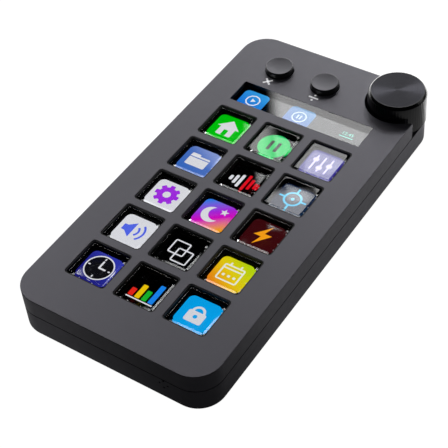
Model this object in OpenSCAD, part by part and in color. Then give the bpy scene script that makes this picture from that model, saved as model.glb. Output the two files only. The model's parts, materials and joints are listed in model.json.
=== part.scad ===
// Macro keypad: fifteen clear keys over one colour display, two round buttons and a corner knob.
// Millimetres. Origin: centre of the footprint, on the surface the pad rests on. +X right,
// +Y towards the knob end, +Z up. Heights of inner pieces are measured down from the top face.

/* [Body] */
// Side margin beside the key openings
side_margin = 10.95; // [10.6:0.05:14]
// Margin in front of the first row of key openings
front_margin = 15.9; // [15:0.1:22]
// Margin behind the information strip
back_margin = 27.6; // [27.4:0.1:34]
// Height of the closed case, without the base pad
body_h = 17.1; // [16.9:0.1:20]
// Height of the upper cover, down to the seam
upper_h = 7.35; // [7.1:0.05:7.6]
// Corner radius of the case in plan
corner_r = 10; // [8:0.5:12]
// Thickness of the side walls
wall_t = 1.6; // [1.4:0.05:1.8]
// Thickness of the cover's flat top
cover_t = 1.4; // [1.2:0.05:1.6]
// Thickness of the lower case's floor
floor_t = 1.8; // [1.6:0.05:2.1]
// Chamfer along the cover's top edge
top_edge = 0.15; // [0.1:0.05:0.6]
// Rounding along the lower case's bottom edge
bottom_edge = 1.0; // [0.4:0.1:1.4]
// Height of the shadow groove between cover and lower case
seam_gap = 0.4; // [0.2:0.05:0.6]

/* [Keys] */
// Spacing of the keys, both ways
key_pitch = 20; // [19.6:0.1:22]
// Width of a key opening
key_open_w = 16.7; // [16.2:0.1:17]
// Length of a key opening
key_open_l = 17.1; // [16.6:0.1:17.3]
// Corner radius of a key opening
key_corner_r = 1.3; // [1:0.1:2]
// How far a key can be pressed
key_travel = 0.55; // [0.3:0.05:0.6]
// Depth of a key cap's face below the cover's top
key_sink = 0.3; // [0.1:0.05:0.5]
// Depth of the shallow dish in a key cap
key_dish = 0.15; // [0.05:0.05:0.4]
// Thickness of the collar that lines each key opening
collar_t = 0.45; // [0.35:0.05:0.6]
// Gap round a key cap inside its collar
key_gap = 0.12; // [0.08:0.01:0.2]

/* [Information strip] */
// Width of the strip's opening
strip_w = 55.3; // [50:0.1:56]
// Length of the strip's opening, front to back
strip_l = 11.5; // [8:0.1:14]
// Gap between the back row of key openings and the strip
strip_gap = 4.2; // [3.6:0.1:8]
// Sideways place of the strip's middle
strip_x = 0.35; // [0:0.05:0.5]

/* [Round buttons] */
// Radius of a button's dished face
button_face_r = 4.98; // [4.5:0.02:5.2]
// Radius of a button where it enters the cover
button_base_r = 5.55; // [5.3:0.05:5.9]
// Height of a button above the cover
button_h = 2.25; // [1.6:0.05:3]
// Depth of the dish in a button's face
button_dish = 0.3; // [0.2:0.05:0.7]
// Spacing of the two buttons
button_pitch = 20.1; // [16:0.1:22]
// Sideways place of the middle between the buttons
button_x = -9.35; // [-10.5:0.05:-8]
// Distance of the buttons from the back edge
button_back = 15.7; // [14.5:0.1:17]
// How far a button can be pressed
button_travel = 0.35; // [0.2:0.05:0.5]
// Gap round a button in its hole
button_gap = 0.12; // [0.08:0.01:0.25]

/* [Knob] */
// Radius of the knob
knob_r = 11.05; // [10.8:0.05:11.4]
// Radius of the knob's flat face
knob_face_r = 10.0; // [9.6:0.05:10.3]
// Height of the knob's face above the cover
knob_h = 6.0; // [5:0.1:8]
// Height of the polished bevel under the face
knob_bevel_h = 1.0; // [0.5:0.1:1.4]
// Distance of the knob's axis from both edges of the corner
knob_inset = 10.5; // [10.2:0.1:10.9]
// Gap between the knob and the wall of its corner notch
notch_gap = 1.15; // [0.8:0.05:1.3]
// Angle at which the notch widens towards the two walls of its corner
notch_mouth = 30; // [20:5:40]
// Gap under the knob's skirt
knob_lift = 0.75; // [0.65:0.05:0.9]
// How far the knob can be pressed
knob_travel = 0.5; // [0.3:0.05:0.55]
// Radius of the encoder's shaft
shaft_r = 3; // [2.8:0.1:3]

/* [Ports] */
// Sideways place of the USB-C socket in the back wall
usb_x = -12; // [-16:0.5:-4]
// Sideways place of the microphone holes in the front wall
mic_x = 22.8; // [20:0.1:24]
// Radius of one microphone hole
mic_hole_r = 0.4; // [0.3:0.05:0.5]
// Radius of the ring of microphone holes
mic_ring_r = 1.6; // [1.3:0.1:1.7]

/* [Base] */
// Distance of the base pad's edge from the case's outline
pad_inset = 2.0; // [1.8:0.1:2.4]
// Thickness of the base pad
pad_t = 1.4; // [1.2:0.1:1.6]
// How far the base pad stands out of the case
pad_proud = 0.8; // [0.5:0.1:0.9]

/* [Hidden] */
$fn = 96;

// Small cut-through allowance, so that no cut ends on a face
eps = 0.05;
// Clearance between fixed pieces that slip together
slip = 0.1;
// Running clearance of the turning shaft
run = 0.03;

// Case
key_rows = 5;
key_columns = 3;
body_w = (key_columns - 1) * key_pitch + key_open_w + 2 * side_margin;
keys_l = (key_rows - 1) * key_pitch + key_open_l;
body_l = front_margin + keys_l + strip_gap + strip_l + back_margin;
top_z = pad_proud + body_h;
under_z = top_z - cover_t;
seam_z = top_z - upper_h;
rim_z = seam_z - seam_gap;
floor_z = pad_proud + floor_t;
lip_t = wall_t / 2;
tongue_h = 1.6;
tongue_root = 0.6;
tongue_notch_gap = 0.3;
inner_w = body_w - 2 * wall_t;
inner_l = body_l - 2 * wall_t;
inner_r = corner_r - wall_t;

// Key field
key_mid_y = -body_l / 2 + front_margin + keys_l / 2;
function key_x(column) = (column - (key_columns + 1) / 2) * key_pitch;
function key_y(row) = key_mid_y + ((key_rows + 1) / 2 - row) * key_pitch;
collar_drop = 0.25;
collar_w = key_open_w - slip;
collar_l = key_open_l - slip;
cap_w = collar_w - 2 * collar_t - 2 * key_gap;
cap_l = collar_l - 2 * collar_t - 2 * key_gap;
cap_r = key_corner_r - collar_t;
cap_bevel = min(0.8, cap_r - 0.05);
cap_bevel_h = 0.4;
flange_reach = 1.15;
flange_t = 0.55;
frame_t = 0.7;
flange_gap = 0.05;
flange_z = under_z - frame_t - flange_gap;
cap_z = flange_z - flange_t;
sheet_t = 0.25;
mat_left = 0.05;
mat_t = key_travel + mat_left;
mat_z = cap_z - mat_t;
film_t = 0.15;
film_z = mat_z - film_t;
view_edge = 1;
view_w = cap_w - 2 * view_edge;
view_l = cap_l - 2 * view_edge;
flange_edge = 0.15;
sheet_edge = 0.2;
film_edge = 0.1;
rib_t = 1;
rib_edge = 0.5;

// Information strip
strip_y = key_mid_y + keys_l / 2 + strip_gap + strip_l / 2;
window_sink = 0.05;
window_reach = 1.2;
skirt_wall = 0.7;
skirt_t = window_reach + slip + skirt_wall;

// Display stack, held in the frame's ring
display_side = 1.65;
display_front = 4.75;
display_back = 1.2;
display_t = 1.4;
tray_t = 1.8;
plate_t = 0.8;
ring_t = 1.5;
display_w = (key_columns - 1) * key_pitch + key_open_w + 2 * display_side;
display_l = display_front + keys_l + strip_gap + strip_l + display_back;
plate_rib_x = 12;
plate_rib_y = 14;
display_y = key_mid_y - keys_l / 2 - display_front + display_l / 2;
display_z = film_z - display_t;
tray_z = display_z - tray_t;
plate_z = tray_z - plate_t;
ring_w = display_w + 2 * (slip + ring_t);
ring_l = display_l + 2 * (slip + ring_t);
key_zone_back = 1.6;
key_zone_l = display_front + keys_l + key_zone_back;
key_zone_y = display_y - display_l / 2 + key_zone_l / 2;

// Screws that hold the case
boss_r = 2.8;
case_screw_r = 1;
case_head_r = 1.9;
case_head_h = 1.2;
case_head_gap = 0.4;
drive_r = 0.7;
drive_depth = 0.7;
thread_grip = 0.02;
thread_end_gap = 0.3;
boss_front = 16;
boss_back = 30;
rear_boss_x = 10.7;
rear_boss_back = 6.2;
boss_x = body_w / 2 - pad_inset - case_head_r - case_head_gap;
boss_front_y = -body_l / 2 + boss_front;
boss_back_y = body_l / 2 - boss_back;
boss_mid_y = (boss_front_y + boss_back_y) / 2;
rear_boss = [rear_boss_x, body_l / 2 - rear_boss_back];
case_screws_at = concat([for (x = [-boss_x, boss_x], y = [boss_front_y, boss_mid_y, boss_back_y]) [x, y]],
                        [rear_boss]);
head_seat_z = pad_t + case_head_h + slip;
case_thread_top = under_z - case_head_h;

// Screws that hold the display stack
lug_r = 2.1;
lug_gap = 0.3;
lug_front = 28;
lug_back = 27;
lug_x = ring_w / 2 + lug_r + lug_gap;
lugs_at = [for (x = [-lug_x, lug_x], y = [boss_mid_y - lug_front, boss_mid_y + lug_back]) [x, y]];
post_h = 1.6;
frame_screw_r = 0.8;
frame_head_r = 1.5;
frame_head_h = 0.9;

// Microphone, behind a soft ring on the front wall
mic_w = 5;
mic_t = 1.8;
mic_h = 5.6;
mic_drop = 2.1;
mic_z = rim_z - mic_drop;
gasket_t = 1.1;
mic_front_y = -inner_l / 2 + gasket_t;
gasket_r = 2.7;

// Main board, on posts that stand on the case's floor; its front edge clears the microphone's ring
board_t = 1.2;
board_lift = 1.2;
boss_gap = 0.4;
board_z = floor_z + board_lift;
board_top = board_z + board_t;
board_w = display_w + 3;
board_front_gap = gasket_t + slip;
board_back_gap = 1.1;
board_l = inner_l - board_front_gap - board_back_gap;
board_y = (board_front_gap - board_back_gap) / 2;
wing_r = 7.2;
standoff_r = 2.4;
board_screw_r = 0.8;
board_head_r = 1.5;
board_head_h = 0.9;
standoff_side = 3;
standoff_end = 5;
standoff_mid_y = 2;
standoff_x = display_w / 2 - standoff_side;
standoff_y = board_l / 2 - standoff_end;
// Two posts stand further in: one clears the microphone, one the encoder
mic_post_in = 9;
encoder_post_in = 10;
standoffs_at = [[-standoff_x, board_y - standoff_y], [standoff_x - mic_post_in, board_y - standoff_y],
                [-standoff_x, standoff_mid_y], [standoff_x, standoff_mid_y],
                [-standoff_x, board_y + standoff_y], [standoff_x - encoder_post_in, boss_back_y - 1]];
// Parts on the board: place, width, length and height, in steps of their grid
chip_grid = 1;
chips = [[0, 20, 10, 10, 1.0], [16, 24, 8, 6, 0.9], [-14, 40, 7, 7, 1.2],
         [0, -20, 12, 5, 0.9], [-16, 18, 4, 4, 1.6], [14, -8, 5, 3, 1.1]] * chip_grid;

// Encoder, between the board and the deck, and the knob above the deck
knob_x = body_w / 2 - knob_inset;
knob_y = body_l / 2 - knob_inset;
notch_r = knob_r + notch_gap;
encoder_h = 3.8;
encoder_w = 10;
deck_t = 1.4;
deck_z = board_top + encoder_h;
deck_top = deck_z + deck_t;
deck_foot_z = min(deck_z, rim_z - deck_t);
deck_r = notch_r - slip;
bushing_r = 3.5;
bushing_h = 3.5;
bushing_top = deck_top + bushing_h;
washer_t = 0.5;
washer_reach = 0.4;
nut_t = 1.6;
nut_flats = 10;
knob_z = deck_top + knob_lift;
knob_wall = 2;
knob_roof_t = 3.2;
knob_roof_z = top_z + knob_h - knob_roof_t;
hub_r = 4.6;
hub_gap = 0.4;
hub_z = bushing_top + knob_travel + hub_gap;
flat_cut = 1.5;
hub_grip = 0.02;
shaft_in_roof = 1.2;
shaft_top = knob_roof_z + shaft_in_roof;
face_disc_t = 0.5;
face_rim = 0.15;
face_sink = 0.05;
face_disc_r = knob_face_r - face_rim;
rotor_r = 3.9;
rotor_t = 0.8;
rotor_gap = 0.2;
cell_roof_t = 0.8;
rotor_z = deck_z - cell_roof_t - rotor_gap - rotor_t;
pusher_r = 2.4;
pusher_t = 0.6;
pusher_gap = 0.25;
cell_r = 4.1;
cell_z = rotor_z - pusher_t - knob_travel - pusher_gap;

// Flex cable of the display
flex_w = 24;
flex_t = 0.2;
flex_out = 2.6;
connector_w = flex_w + 3;
connector_l = 4;
connector_h = 1.8;
connector_back = 5;
connector_slot = 1.4;
flex_lift = 0.8;
flex_side_gap = 0.1;
flex_front_y = display_y - ring_l / 2 - flex_out;
connector_y = flex_front_y + connector_back;
flex_end_y = connector_y - connector_l / 2 + connector_slot;

// Round buttons and their switches
button_y = body_l / 2 - button_back;
button_flange_t = 0.8;
button_flange_reach = 0.9;
button_flange_r = button_base_r + button_flange_reach;
button_rim = 0.35;
stem_r = 2;
switch_w = 6;
switch_h = 3.5;
plunger_r = 1.6;
plunger_low = 2.2;
plunger_high = 5.3;
plunger_z = board_top + plunger_low;
plunger_top = board_top + plunger_high;
plunger_end_gap = 0.2;
plunger_side_gap = 0.08;

// USB-C socket
usb_w = 8.94;
usb_h = 3.26;
usb_l = 7.35;
usb_shell_t = 0.3;
usb_z = board_top + usb_h / 2;
usb_recess = 0.5;
usb_mouth_y = body_l / 2 - usb_recess;
usb_clear = 0.2;
usb_back_t = 1;
usb_tongue_w = 6.69;
usb_tongue_t = 0.7;
usb_tongue_l = 4.9;

// ---- shared shapes ----

module round_rect(w, l, r) {
    square([w - 2 * r, l], center = true);
    square([w, l - 2 * r], center = true);
    for (sx = [-1, 1], sy = [-1, 1])
        translate([sx * (w / 2 - r), sy * (l / 2 - r)]) circle(r);
}

module plain_slab(w, l, h, r) {
    linear_extrude(h) round_rect(w, l, r);
}

// Half section of a slab: chamfered at the top, rounded at the bottom. The chamfer is as wide as it is
// high, or has a drop of its own
module edge_section(reach, h, chamfer, round, drop) {
    fall = is_undef(drop) ? chamfer : drop;
    translate([0, round]) square([reach, h - fall - round]);
    if (chamfer > 0)
        polygon([[0, h - fall - eps], [reach, h - fall - eps], [reach, h - fall],
                 [reach - chamfer, h], [0, h]]);
    if (round > 0) {
        square([reach - round, round + eps]);
        translate([reach - round, round]) circle(round);
    }
}

// Slab with rounded corners in plan, a chamfered top edge and a rounded bottom edge
module edged_slab(w, l, h, r, chamfer, round, drop) {
    for (sx = [-1, 1], sy = [-1, 1])
        translate([sx * (w / 2 - r), sy * (l / 2 - r), 0])
            rotate_extrude() edge_section(r, h, chamfer, round, drop);
    rotate([90, 0, 0]) linear_extrude(l - 2 * r, center = true)
        for (side = [0, 1]) mirror([side, 0]) edge_section(w / 2, h, chamfer, round, drop);
    rotate([90, 0, 90]) linear_extrude(w - 2 * r, center = true)
        for (side = [0, 1]) mirror([side, 0]) edge_section(l / 2, h, chamfer, round, drop);
}

module at_keys() {
    for (row = [1:key_rows], column = [1:key_columns])
        translate([key_x(column), key_y(row)]) children();
}

// Row of cylinders at a list of places
module pillars(places, r, z_low, z_high) {
    for (place = places)
        translate([place[0], place[1], z_low]) cylinder(r = r, h = z_high - z_low);
}

// Rounded slot along Y, w wide and h high, centred on its axis
module slot_y(w, h, l) {
    rotate([90, 0, 0]) linear_extrude(l, center = true) {
        square([w - h, h], center = true);
        for (side = [-1, 1]) translate([side * (w - h) / 2, 0]) circle(h / 2);
    }
}

// ---- case ----

module top_cover() {
    color("#4b4a4f") difference() {
        union() {
            difference() {
                translate([0, 0, seam_z])
                    edged_slab(body_w, body_l, upper_h, corner_r, top_edge, 0);
                translate([0, 0, seam_z - eps])
                    plain_slab(inner_w, inner_l, upper_h - cover_t + eps, inner_r);
            }
            notch_wall();
            pillars(case_screws_at, boss_r, seam_z, under_z + eps);
            pillars(lugs_at, lug_r, under_z - post_h, under_z + eps);
        }
        tongue_rebate();
        translate([knob_x, knob_y, seam_z - eps]) linear_extrude(upper_h + 2 * eps) notch();
        translate([0, 0, under_z - eps]) linear_extrude(cover_t + 2 * eps) {
            at_keys() round_rect(key_open_w, key_open_l, key_corner_r);
            translate([strip_x, strip_y]) square([strip_w, strip_l], center = true);
            for (side = [-1, 1])
                translate([button_x + side * button_pitch / 2, button_y])
                    circle(button_base_r + button_gap);
        }
        pillars(case_screws_at, case_screw_r + thread_grip, seam_z - eps, case_thread_top);
        pillars(lugs_at, frame_screw_r + thread_grip, under_z - post_h - eps, under_z + thread_end_gap);
    }
}

// Round notch whose two ends run straight out through the walls
module notch() {
    circle(notch_r);
    for (side = [0, 1]) mirror([side, -side]) rotate(notch_mouth)
        translate([0, -notch_r]) square([2 * notch_r, notch_r]);
}

// Wall that closes the cover's inside round the knob's notch
module notch_wall() {
    intersection() {
        translate([knob_x, knob_y, seam_z]) cylinder(r = notch_r + wall_t, h = upper_h - cover_t + eps);
        translate([0, 0, seam_z]) plain_slab(inner_w + eps, inner_l + eps, upper_h, inner_r);
    }
}

// Step inside the cover's rim that takes the lower case's tongue
module tongue_rebate() {
    translate([0, 0, seam_z - eps]) linear_extrude(tongue_h + eps) difference() {
        round_rect(body_w - 2 * lip_t, body_l - 2 * lip_t, corner_r - lip_t);
        round_rect(inner_w, inner_l, inner_r);
    }
}

module bottom_case() {
    color("#454549") difference() {
        union() {
            difference() {
                translate([0, 0, pad_proud])
                    edged_slab(body_w, body_l, rim_z - pad_proud, corner_r, 0, bottom_edge);
                translate([0, 0, floor_z])
                    plain_slab(inner_w, inner_l, rim_z - floor_z + eps, inner_r);
            }
            tongue();
            knob_deck();
            pillars(case_screws_at, boss_r, floor_z - eps, seam_z);
            pillars(standoffs_at, standoff_r, floor_z - eps, board_z);
        }
        translate([0, 0, pad_proud - eps])
            plain_slab(body_w - 2 * pad_inset, body_l - 2 * pad_inset,
                       pad_t - pad_proud + eps, corner_r - pad_inset);
        pillars(case_screws_at, case_screw_r + slip, pad_proud, seam_z + eps);
        pillars(case_screws_at, case_head_r + slip, pad_proud, head_seat_z);
        pillars(standoffs_at, board_screw_r + thread_grip, floor_z + thread_end_gap, board_z + eps);
        translate([knob_x, knob_y, deck_z - eps]) cylinder(r = bushing_r + slip, h = deck_t + 2 * eps);
        translate([usb_x, body_l / 2 - wall_t / 2, usb_z])
            slot_y(usb_w + 2 * usb_clear, usb_h + 2 * usb_clear, wall_t + 1);
        for (step = [0:3])
            translate([mic_x, -body_l / 2 + wall_t / 2, mic_z] + mic_ring_r * mic_hole_way(step))
                rotate([90, 0, 0]) cylinder(r = mic_hole_r, h = wall_t + 1, center = true);
    }
}

function mic_hole_way(step) = [cos(step * 90), 0, sin(step * 90)];

// Tongue on the lower case's rim; it stops short of the knob's notch
module tongue() {
    difference() {
        translate([0, 0, rim_z - tongue_root])
            linear_extrude(tongue_root + seam_gap + tongue_h) difference() {
                round_rect(body_w - 2 * (lip_t + slip), body_l - 2 * (lip_t + slip),
                           corner_r - lip_t - slip);
                round_rect(inner_w, inner_l, inner_r);
            }
        translate([knob_x, knob_y, rim_z]) cylinder(r = notch_r + wall_t + tongue_notch_gap, h = upper_h);
    }
}

// Shelf under the knob that carries the encoder. Its top lies level with the lower case's rim;
// where other sizes part the two, a round wall joins them
module knob_deck() {
    intersection() {
        translate([knob_x, knob_y, 0]) difference() {
            union() {
                translate([0, 0, deck_foot_z]) cylinder(r = notch_r + wall_t, h = rim_z - deck_foot_z);
                translate([0, 0, deck_foot_z]) cylinder(r = deck_r, h = deck_top - deck_foot_z);
            }
            translate([0, 0, deck_top]) cylinder(r = notch_r, h = body_h);
            translate([0, 0, deck_z - body_h]) cylinder(r = deck_r - wall_t, h = body_h);
        }
        translate([0, 0, deck_foot_z]) plain_slab(inner_w + eps, inner_l + eps, body_h, inner_r);
    }
}

module base_pad() {
    color("#1c1c1e") plain_slab(body_w - 2 * pad_inset - 2 * slip, body_l - 2 * pad_inset - 2 * slip,
                                pad_t, corner_r - pad_inset - slip);
}

module case_screws() {
    color("#9a9a9e") difference() {
        union() {
            pillars(case_screws_at, case_screw_r, head_seat_z - eps, case_thread_top - thread_end_gap);
            pillars(case_screws_at, case_head_r, head_seat_z - case_head_h, head_seat_z);
        }
        pillars(case_screws_at, drive_r, head_seat_z - case_head_h - eps,
                head_seat_z - case_head_h + drive_depth);
    }
}

// ---- keys and display ----

module key_frame() {
    color("#0c0c0d") difference() {
        union() {
            translate([0, 0, under_z - frame_t]) linear_extrude(frame_t) difference() {
                translate([0, display_y]) square([ring_w, ring_l], center = true);
                translate([strip_x, strip_y])
                    square([strip_w + 2 * window_reach + 2 * slip, strip_l + 2 * window_reach + 2 * slip],
                           center = true);
            }
            translate([0, 0, under_z - eps]) linear_extrude(cover_t - collar_drop + eps)
                at_keys() round_rect(collar_w, collar_l, key_corner_r - slip / 2);
            translate([0, 0, tray_z]) linear_extrude(under_z - tray_z - eps) difference() {
                translate([0, display_y]) square([ring_w, ring_l], center = true);
                translate([0, display_y])
                    square([ring_w - 2 * ring_t, ring_l - 2 * ring_t], center = true);
            }
            key_partitions();
            strip_skirt();
            for (place = lugs_at) frame_lug(place);
        }
        translate([0, 0, under_z - frame_t - eps])
            linear_extrude(frame_t + cover_t + 2 * eps)
                at_keys() round_rect(cap_w + 2 * key_gap, cap_l + 2 * key_gap, cap_r + key_gap);
        pillars(lugs_at, frame_screw_r + slip, tray_z - eps, under_z);
        translate([0, display_y - ring_l / 2 + ring_t / 2, display_z])
            cube([flex_w + 1, ring_t + 1, 1.2], center = true);
    }
}

// Ribs between the keys, down to the silicone sheet
module key_partitions() {
    rib_z = mat_z + sheet_t;
    rib_h = under_z - frame_t + eps - rib_z;
    for (column = [1:key_columns - 1])
        translate([(key_x(column) + key_x(column + 1)) / 2, key_zone_y, rib_z + rib_h / 2])
            cube([rib_t, key_zone_l - 2 * rib_edge, rib_h], center = true);
    for (row = [1:key_rows - 1])
        translate([0, (key_y(row) + key_y(row + 1)) / 2, rib_z + rib_h / 2])
            cube([display_w - 2 * rib_edge, rib_t, rib_h], center = true);
}

// Dark wall between the window and the display, all round the strip
module strip_skirt() {
    translate([strip_x, strip_y, film_z])
        linear_extrude(under_z - frame_t - film_z) difference() {
            square([strip_w + 2 * skirt_t, strip_l + 2 * skirt_t], center = true);
            square([strip_w, strip_l], center = true);
        }
}

module frame_lug(place) {
    side = sign(place[0]);
    lug_h = under_z - post_h - tray_z;
    translate([place[0], place[1], tray_z]) cylinder(r = lug_r, h = lug_h);
    translate([side * (ring_w / 2 + lug_r / 2), place[1], tray_z + lug_h / 2])
        cube([lug_r + 1, lug_r * 1.6, lug_h], center = true);
}

module keycap(row, column) {
    block_h = top_z - key_sink - cap_z;
    dish_half = cap_w / 2 - cap_bevel;
    dish_r = (dish_half * dish_half + key_dish * key_dish) / (2 * key_dish);
    color([0.75, 0.78, 0.8, 0.4]) translate([key_x(column), key_y(row), cap_z]) difference() {
        union() {
            edged_slab(cap_w, cap_l, block_h, cap_r, cap_bevel, 0, cap_bevel_h);
            plain_slab(cap_w + 2 * flange_reach, cap_l + 2 * flange_reach, flange_t, 1);
        }
        translate([0, 0, block_h - key_dish + dish_r]) sphere(dish_r);
    }
}

module spring_mat() {
    frame_w = cap_w + 2 * (flange_reach - flange_edge);
    frame_l = cap_l + 2 * (flange_reach - flange_edge);
    color("#131314") difference() {
        union() {
            translate([0, key_zone_y, mat_z])
                linear_extrude(sheet_t) square([display_w, key_zone_l - 2 * sheet_edge], center = true);
            translate([0, 0, mat_z]) linear_extrude(mat_t)
                at_keys() square([frame_w, frame_l], center = true);
        }
        translate([0, 0, mat_z - eps]) linear_extrude(mat_t + 2 * eps)
            at_keys() square([view_w, view_l], center = true);
    }
}

module contact_film() {
    color("#30261a") translate([0, 0, film_z]) linear_extrude(film_t) difference() {
        translate([0, key_zone_y]) square([display_w, key_zone_l - 2 * sheet_edge], center = true);
        at_keys() square([view_w + 2 * film_edge, view_l + 2 * film_edge], center = true);
    }
}

module strip_window() {
    color([0.75, 0.78, 0.8, 0.4]) translate([strip_x, strip_y]) {
        translate([0, 0, under_z - eps]) linear_extrude(cover_t - window_sink + eps)
            square([strip_w - slip, strip_l - slip], center = true);
        translate([0, 0, under_z - frame_t]) linear_extrude(frame_t)
            square([strip_w + 2 * window_reach, strip_l + 2 * window_reach], center = true);
    }
}

module display_panel() {
    color("#08080a") translate([0, display_y, display_z + display_t / 2])
        cube([display_w, display_l, display_t], center = true);
}

module backlight_tray() {
    color("#b9bcc0") translate([0, display_y, tray_z + tray_t / 2])
        cube([display_w, display_l, tray_t], center = true);
}

module mid_plate() {
    hole_w = display_w / 2 - plate_rib_x;
    color("#8e9196") translate([0, 0, plate_z]) linear_extrude(plate_t) difference() {
        union() {
            translate([0, display_y]) square([ring_w, ring_l], center = true);
            for (place = lugs_at) {
                translate(place) circle(lug_r);
                translate([sign(place[0]) * (ring_w / 2 + lug_r / 2), place[1]])
                    square([lug_r + 1, lug_r * 1.6], center = true);
            }
        }
        for (place = lugs_at) translate(place) circle(frame_screw_r + slip);
        for (x = [-1, 1], y = [-1, 1])
            translate([x * display_w / 4, display_y + y * display_l / 4])
                round_rect(hole_w, display_l / 2 - plate_rib_y, 3);
    }
}

module frame_screws() {
    color("#9a9a9e") union() {
        pillars(lugs_at, frame_screw_r, plate_z - eps, under_z + 0.1);
        pillars(lugs_at, frame_head_r, plate_z - frame_head_h, plate_z);
    }
}

// Display's flat cable: out through the frame's front wall, down, and back into its connector
module display_flex() {
    start_y = display_y - display_l / 2;
    low_z = board_top + flex_lift;
    high_z = display_z - flex_t / 2;
    color("#b07a2c") rotate([90, 0, 90]) linear_extrude(flex_w, center = true)
        polygon([[start_y, high_z], [start_y, high_z + flex_t],
                 [flex_front_y, high_z + flex_t], [flex_front_y, low_z],
                 [flex_end_y, low_z], [flex_end_y, low_z + flex_t],
                 [flex_front_y + flex_t, low_z + flex_t], [flex_front_y + flex_t, high_z]]);
}

module flex_connector() {
    color("#d9d3c4") difference() {
        translate([0, connector_y, board_top + connector_h / 2])
            cube([connector_w, connector_l, connector_h], center = true);
        translate([0, flex_end_y - connector_slot / 2, board_top + flex_lift + flex_t / 2])
            cube([flex_w + 2 * flex_side_gap, connector_slot + 2 * eps, flex_t], center = true);
    }
}

// ---- main board ----

module main_board() {
    color("#17482c") difference() {
        translate([0, 0, board_z]) linear_extrude(board_t) {
            translate([0, board_y]) round_rect(board_w, board_l, 1);
            translate([knob_x, knob_y]) circle(wing_r);
        }
        pillars(standoffs_at, board_screw_r + slip, board_z - eps, board_top + eps);
        pillars([rear_boss], boss_r + boss_gap, board_z - eps, board_top + eps);
    }
}

module board_screws() {
    color("#9a9a9e") union() {
        pillars(standoffs_at, board_screw_r, floor_z + 2 * thread_end_gap, board_top + eps);
        pillars(standoffs_at, board_head_r, board_top, board_top + board_head_h);
    }
}

module board_chips() {
    color("#202124") for (chip = chips)
        translate([chip[0], chip[1], board_top + chip[4] / 2])
            cube([chip[2], chip[3], chip[4]], center = true);
}

module usb_shell() {
    color("#b4b6ba") translate([usb_x, usb_mouth_y - usb_l / 2, usb_z]) difference() {
        slot_y(usb_w, usb_h, usb_l);
        translate([0, usb_back_t, 0]) slot_y(usb_w - 2 * usb_shell_t, usb_h - 2 * usb_shell_t, usb_l);
    }
}

module usb_tongue() {
    color("#101012") translate([usb_x, usb_mouth_y - usb_l + usb_back_t + usb_tongue_l / 2, usb_z])
        cube([usb_tongue_w, usb_tongue_l, usb_tongue_t], center = true);
}

module microphone() {
    color("#26282c") translate([mic_x, mic_front_y + mic_t / 2, board_top + mic_h / 2])
        cube([mic_w, mic_t, mic_h], center = true);
}

module mic_gasket() {
    color("#1a1a1a") translate([mic_x, mic_front_y - gasket_t / 2, mic_z])
        rotate([90, 0, 0]) difference() {
            cylinder(r = gasket_r, h = gasket_t, center = true);
            cylinder(r = mic_ring_r + mic_hole_r + slip / 2, h = gasket_t + 1, center = true);
        }
}

// ---- round buttons ----

module switch_body(x) {
    color("#2a2a2c") translate([x, button_y, board_top]) difference() {
        translate([0, 0, switch_h / 2]) cube([switch_w, switch_w, switch_h], center = true);
        translate([0, 0, plunger_z - board_top - button_travel - plunger_end_gap])
            cylinder(r = plunger_r + plunger_side_gap, h = switch_h);
    }
}

module switch_plunger(x) {
    color("#c9c4b8") translate([x, button_y, plunger_z])
        cylinder(r = plunger_r, h = plunger_top - plunger_z);
}

module round_button(x) {
    flange_top = under_z;
    dish_r = (button_face_r * button_face_r + button_dish * button_dish) / (2 * button_dish);
    color("#2c2c2f") translate([x, button_y, 0]) difference() {
        union() {
            translate([0, 0, flange_top - eps])
                cylinder(r = button_base_r, h = top_z - flange_top + eps);
            translate([0, 0, top_z])
                cylinder(r1 = button_base_r, r2 = button_face_r + button_rim, h = button_h - button_rim);
            translate([0, 0, top_z + button_h - button_rim])
                cylinder(r1 = button_face_r + button_rim, r2 = button_face_r, h = button_rim);
            translate([0, 0, flange_top - button_flange_t])
                cylinder(r = button_flange_r, h = button_flange_t);
            translate([0, 0, plunger_top])
                cylinder(r = stem_r, h = flange_top - plunger_top);
        }
        translate([0, 0, top_z + button_h - button_dish + dish_r]) sphere(dish_r);
    }
}

// ---- knob ----

module encoder_body() {
    color("#a3a5a9") translate([knob_x, knob_y, 0]) difference() {
        union() {
            translate([0, 0, board_top + encoder_h / 2])
                cube([encoder_w, encoder_w, encoder_h], center = true);
            translate([0, 0, deck_z - eps]) cylinder(r = bushing_r, h = bushing_top - deck_z + eps);
        }
        translate([0, 0, cell_z]) cylinder(r = cell_r, h = deck_z - cell_roof_t - cell_z);
        translate([0, 0, cell_z]) cylinder(r = shaft_r + run, h = bushing_top - cell_z + eps);
    }
}

module encoder_washer() {
    color("#c0c2c6") translate([knob_x, knob_y, deck_top]) difference() {
        cylinder(r = nut_flats / 2 + washer_reach, h = washer_t);
        translate([0, 0, -eps]) cylinder(r = bushing_r + run, h = washer_t + 2 * eps);
    }
}

module encoder_nut() {
    color("#c0c2c6") translate([knob_x, knob_y, deck_top + washer_t]) difference() {
        cylinder(r = nut_flats / sqrt(3), h = nut_t, $fn = 6);
        translate([0, 0, -eps]) cylinder(r = bushing_r + thread_grip, h = nut_t + 2 * eps);
    }
}

module encoder_plunger() {
    color("#e4e2dc") translate([knob_x, knob_y, rotor_z - pusher_t])
        cylinder(r = pusher_r, h = pusher_t);
}

module encoder_shaft() {
    color("#b9bbbf") translate([knob_x, knob_y, 0]) difference() {
        union() {
            translate([0, 0, rotor_z]) cylinder(r = shaft_r, h = shaft_top - rotor_z);
            translate([0, 0, rotor_z]) cylinder(r = rotor_r, h = rotor_t);
        }
        translate([-shaft_r, shaft_r - flat_cut, hub_z])
            cube([2 * shaft_r, flat_cut + 1, shaft_top - hub_z + 1]);
    }
}

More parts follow.
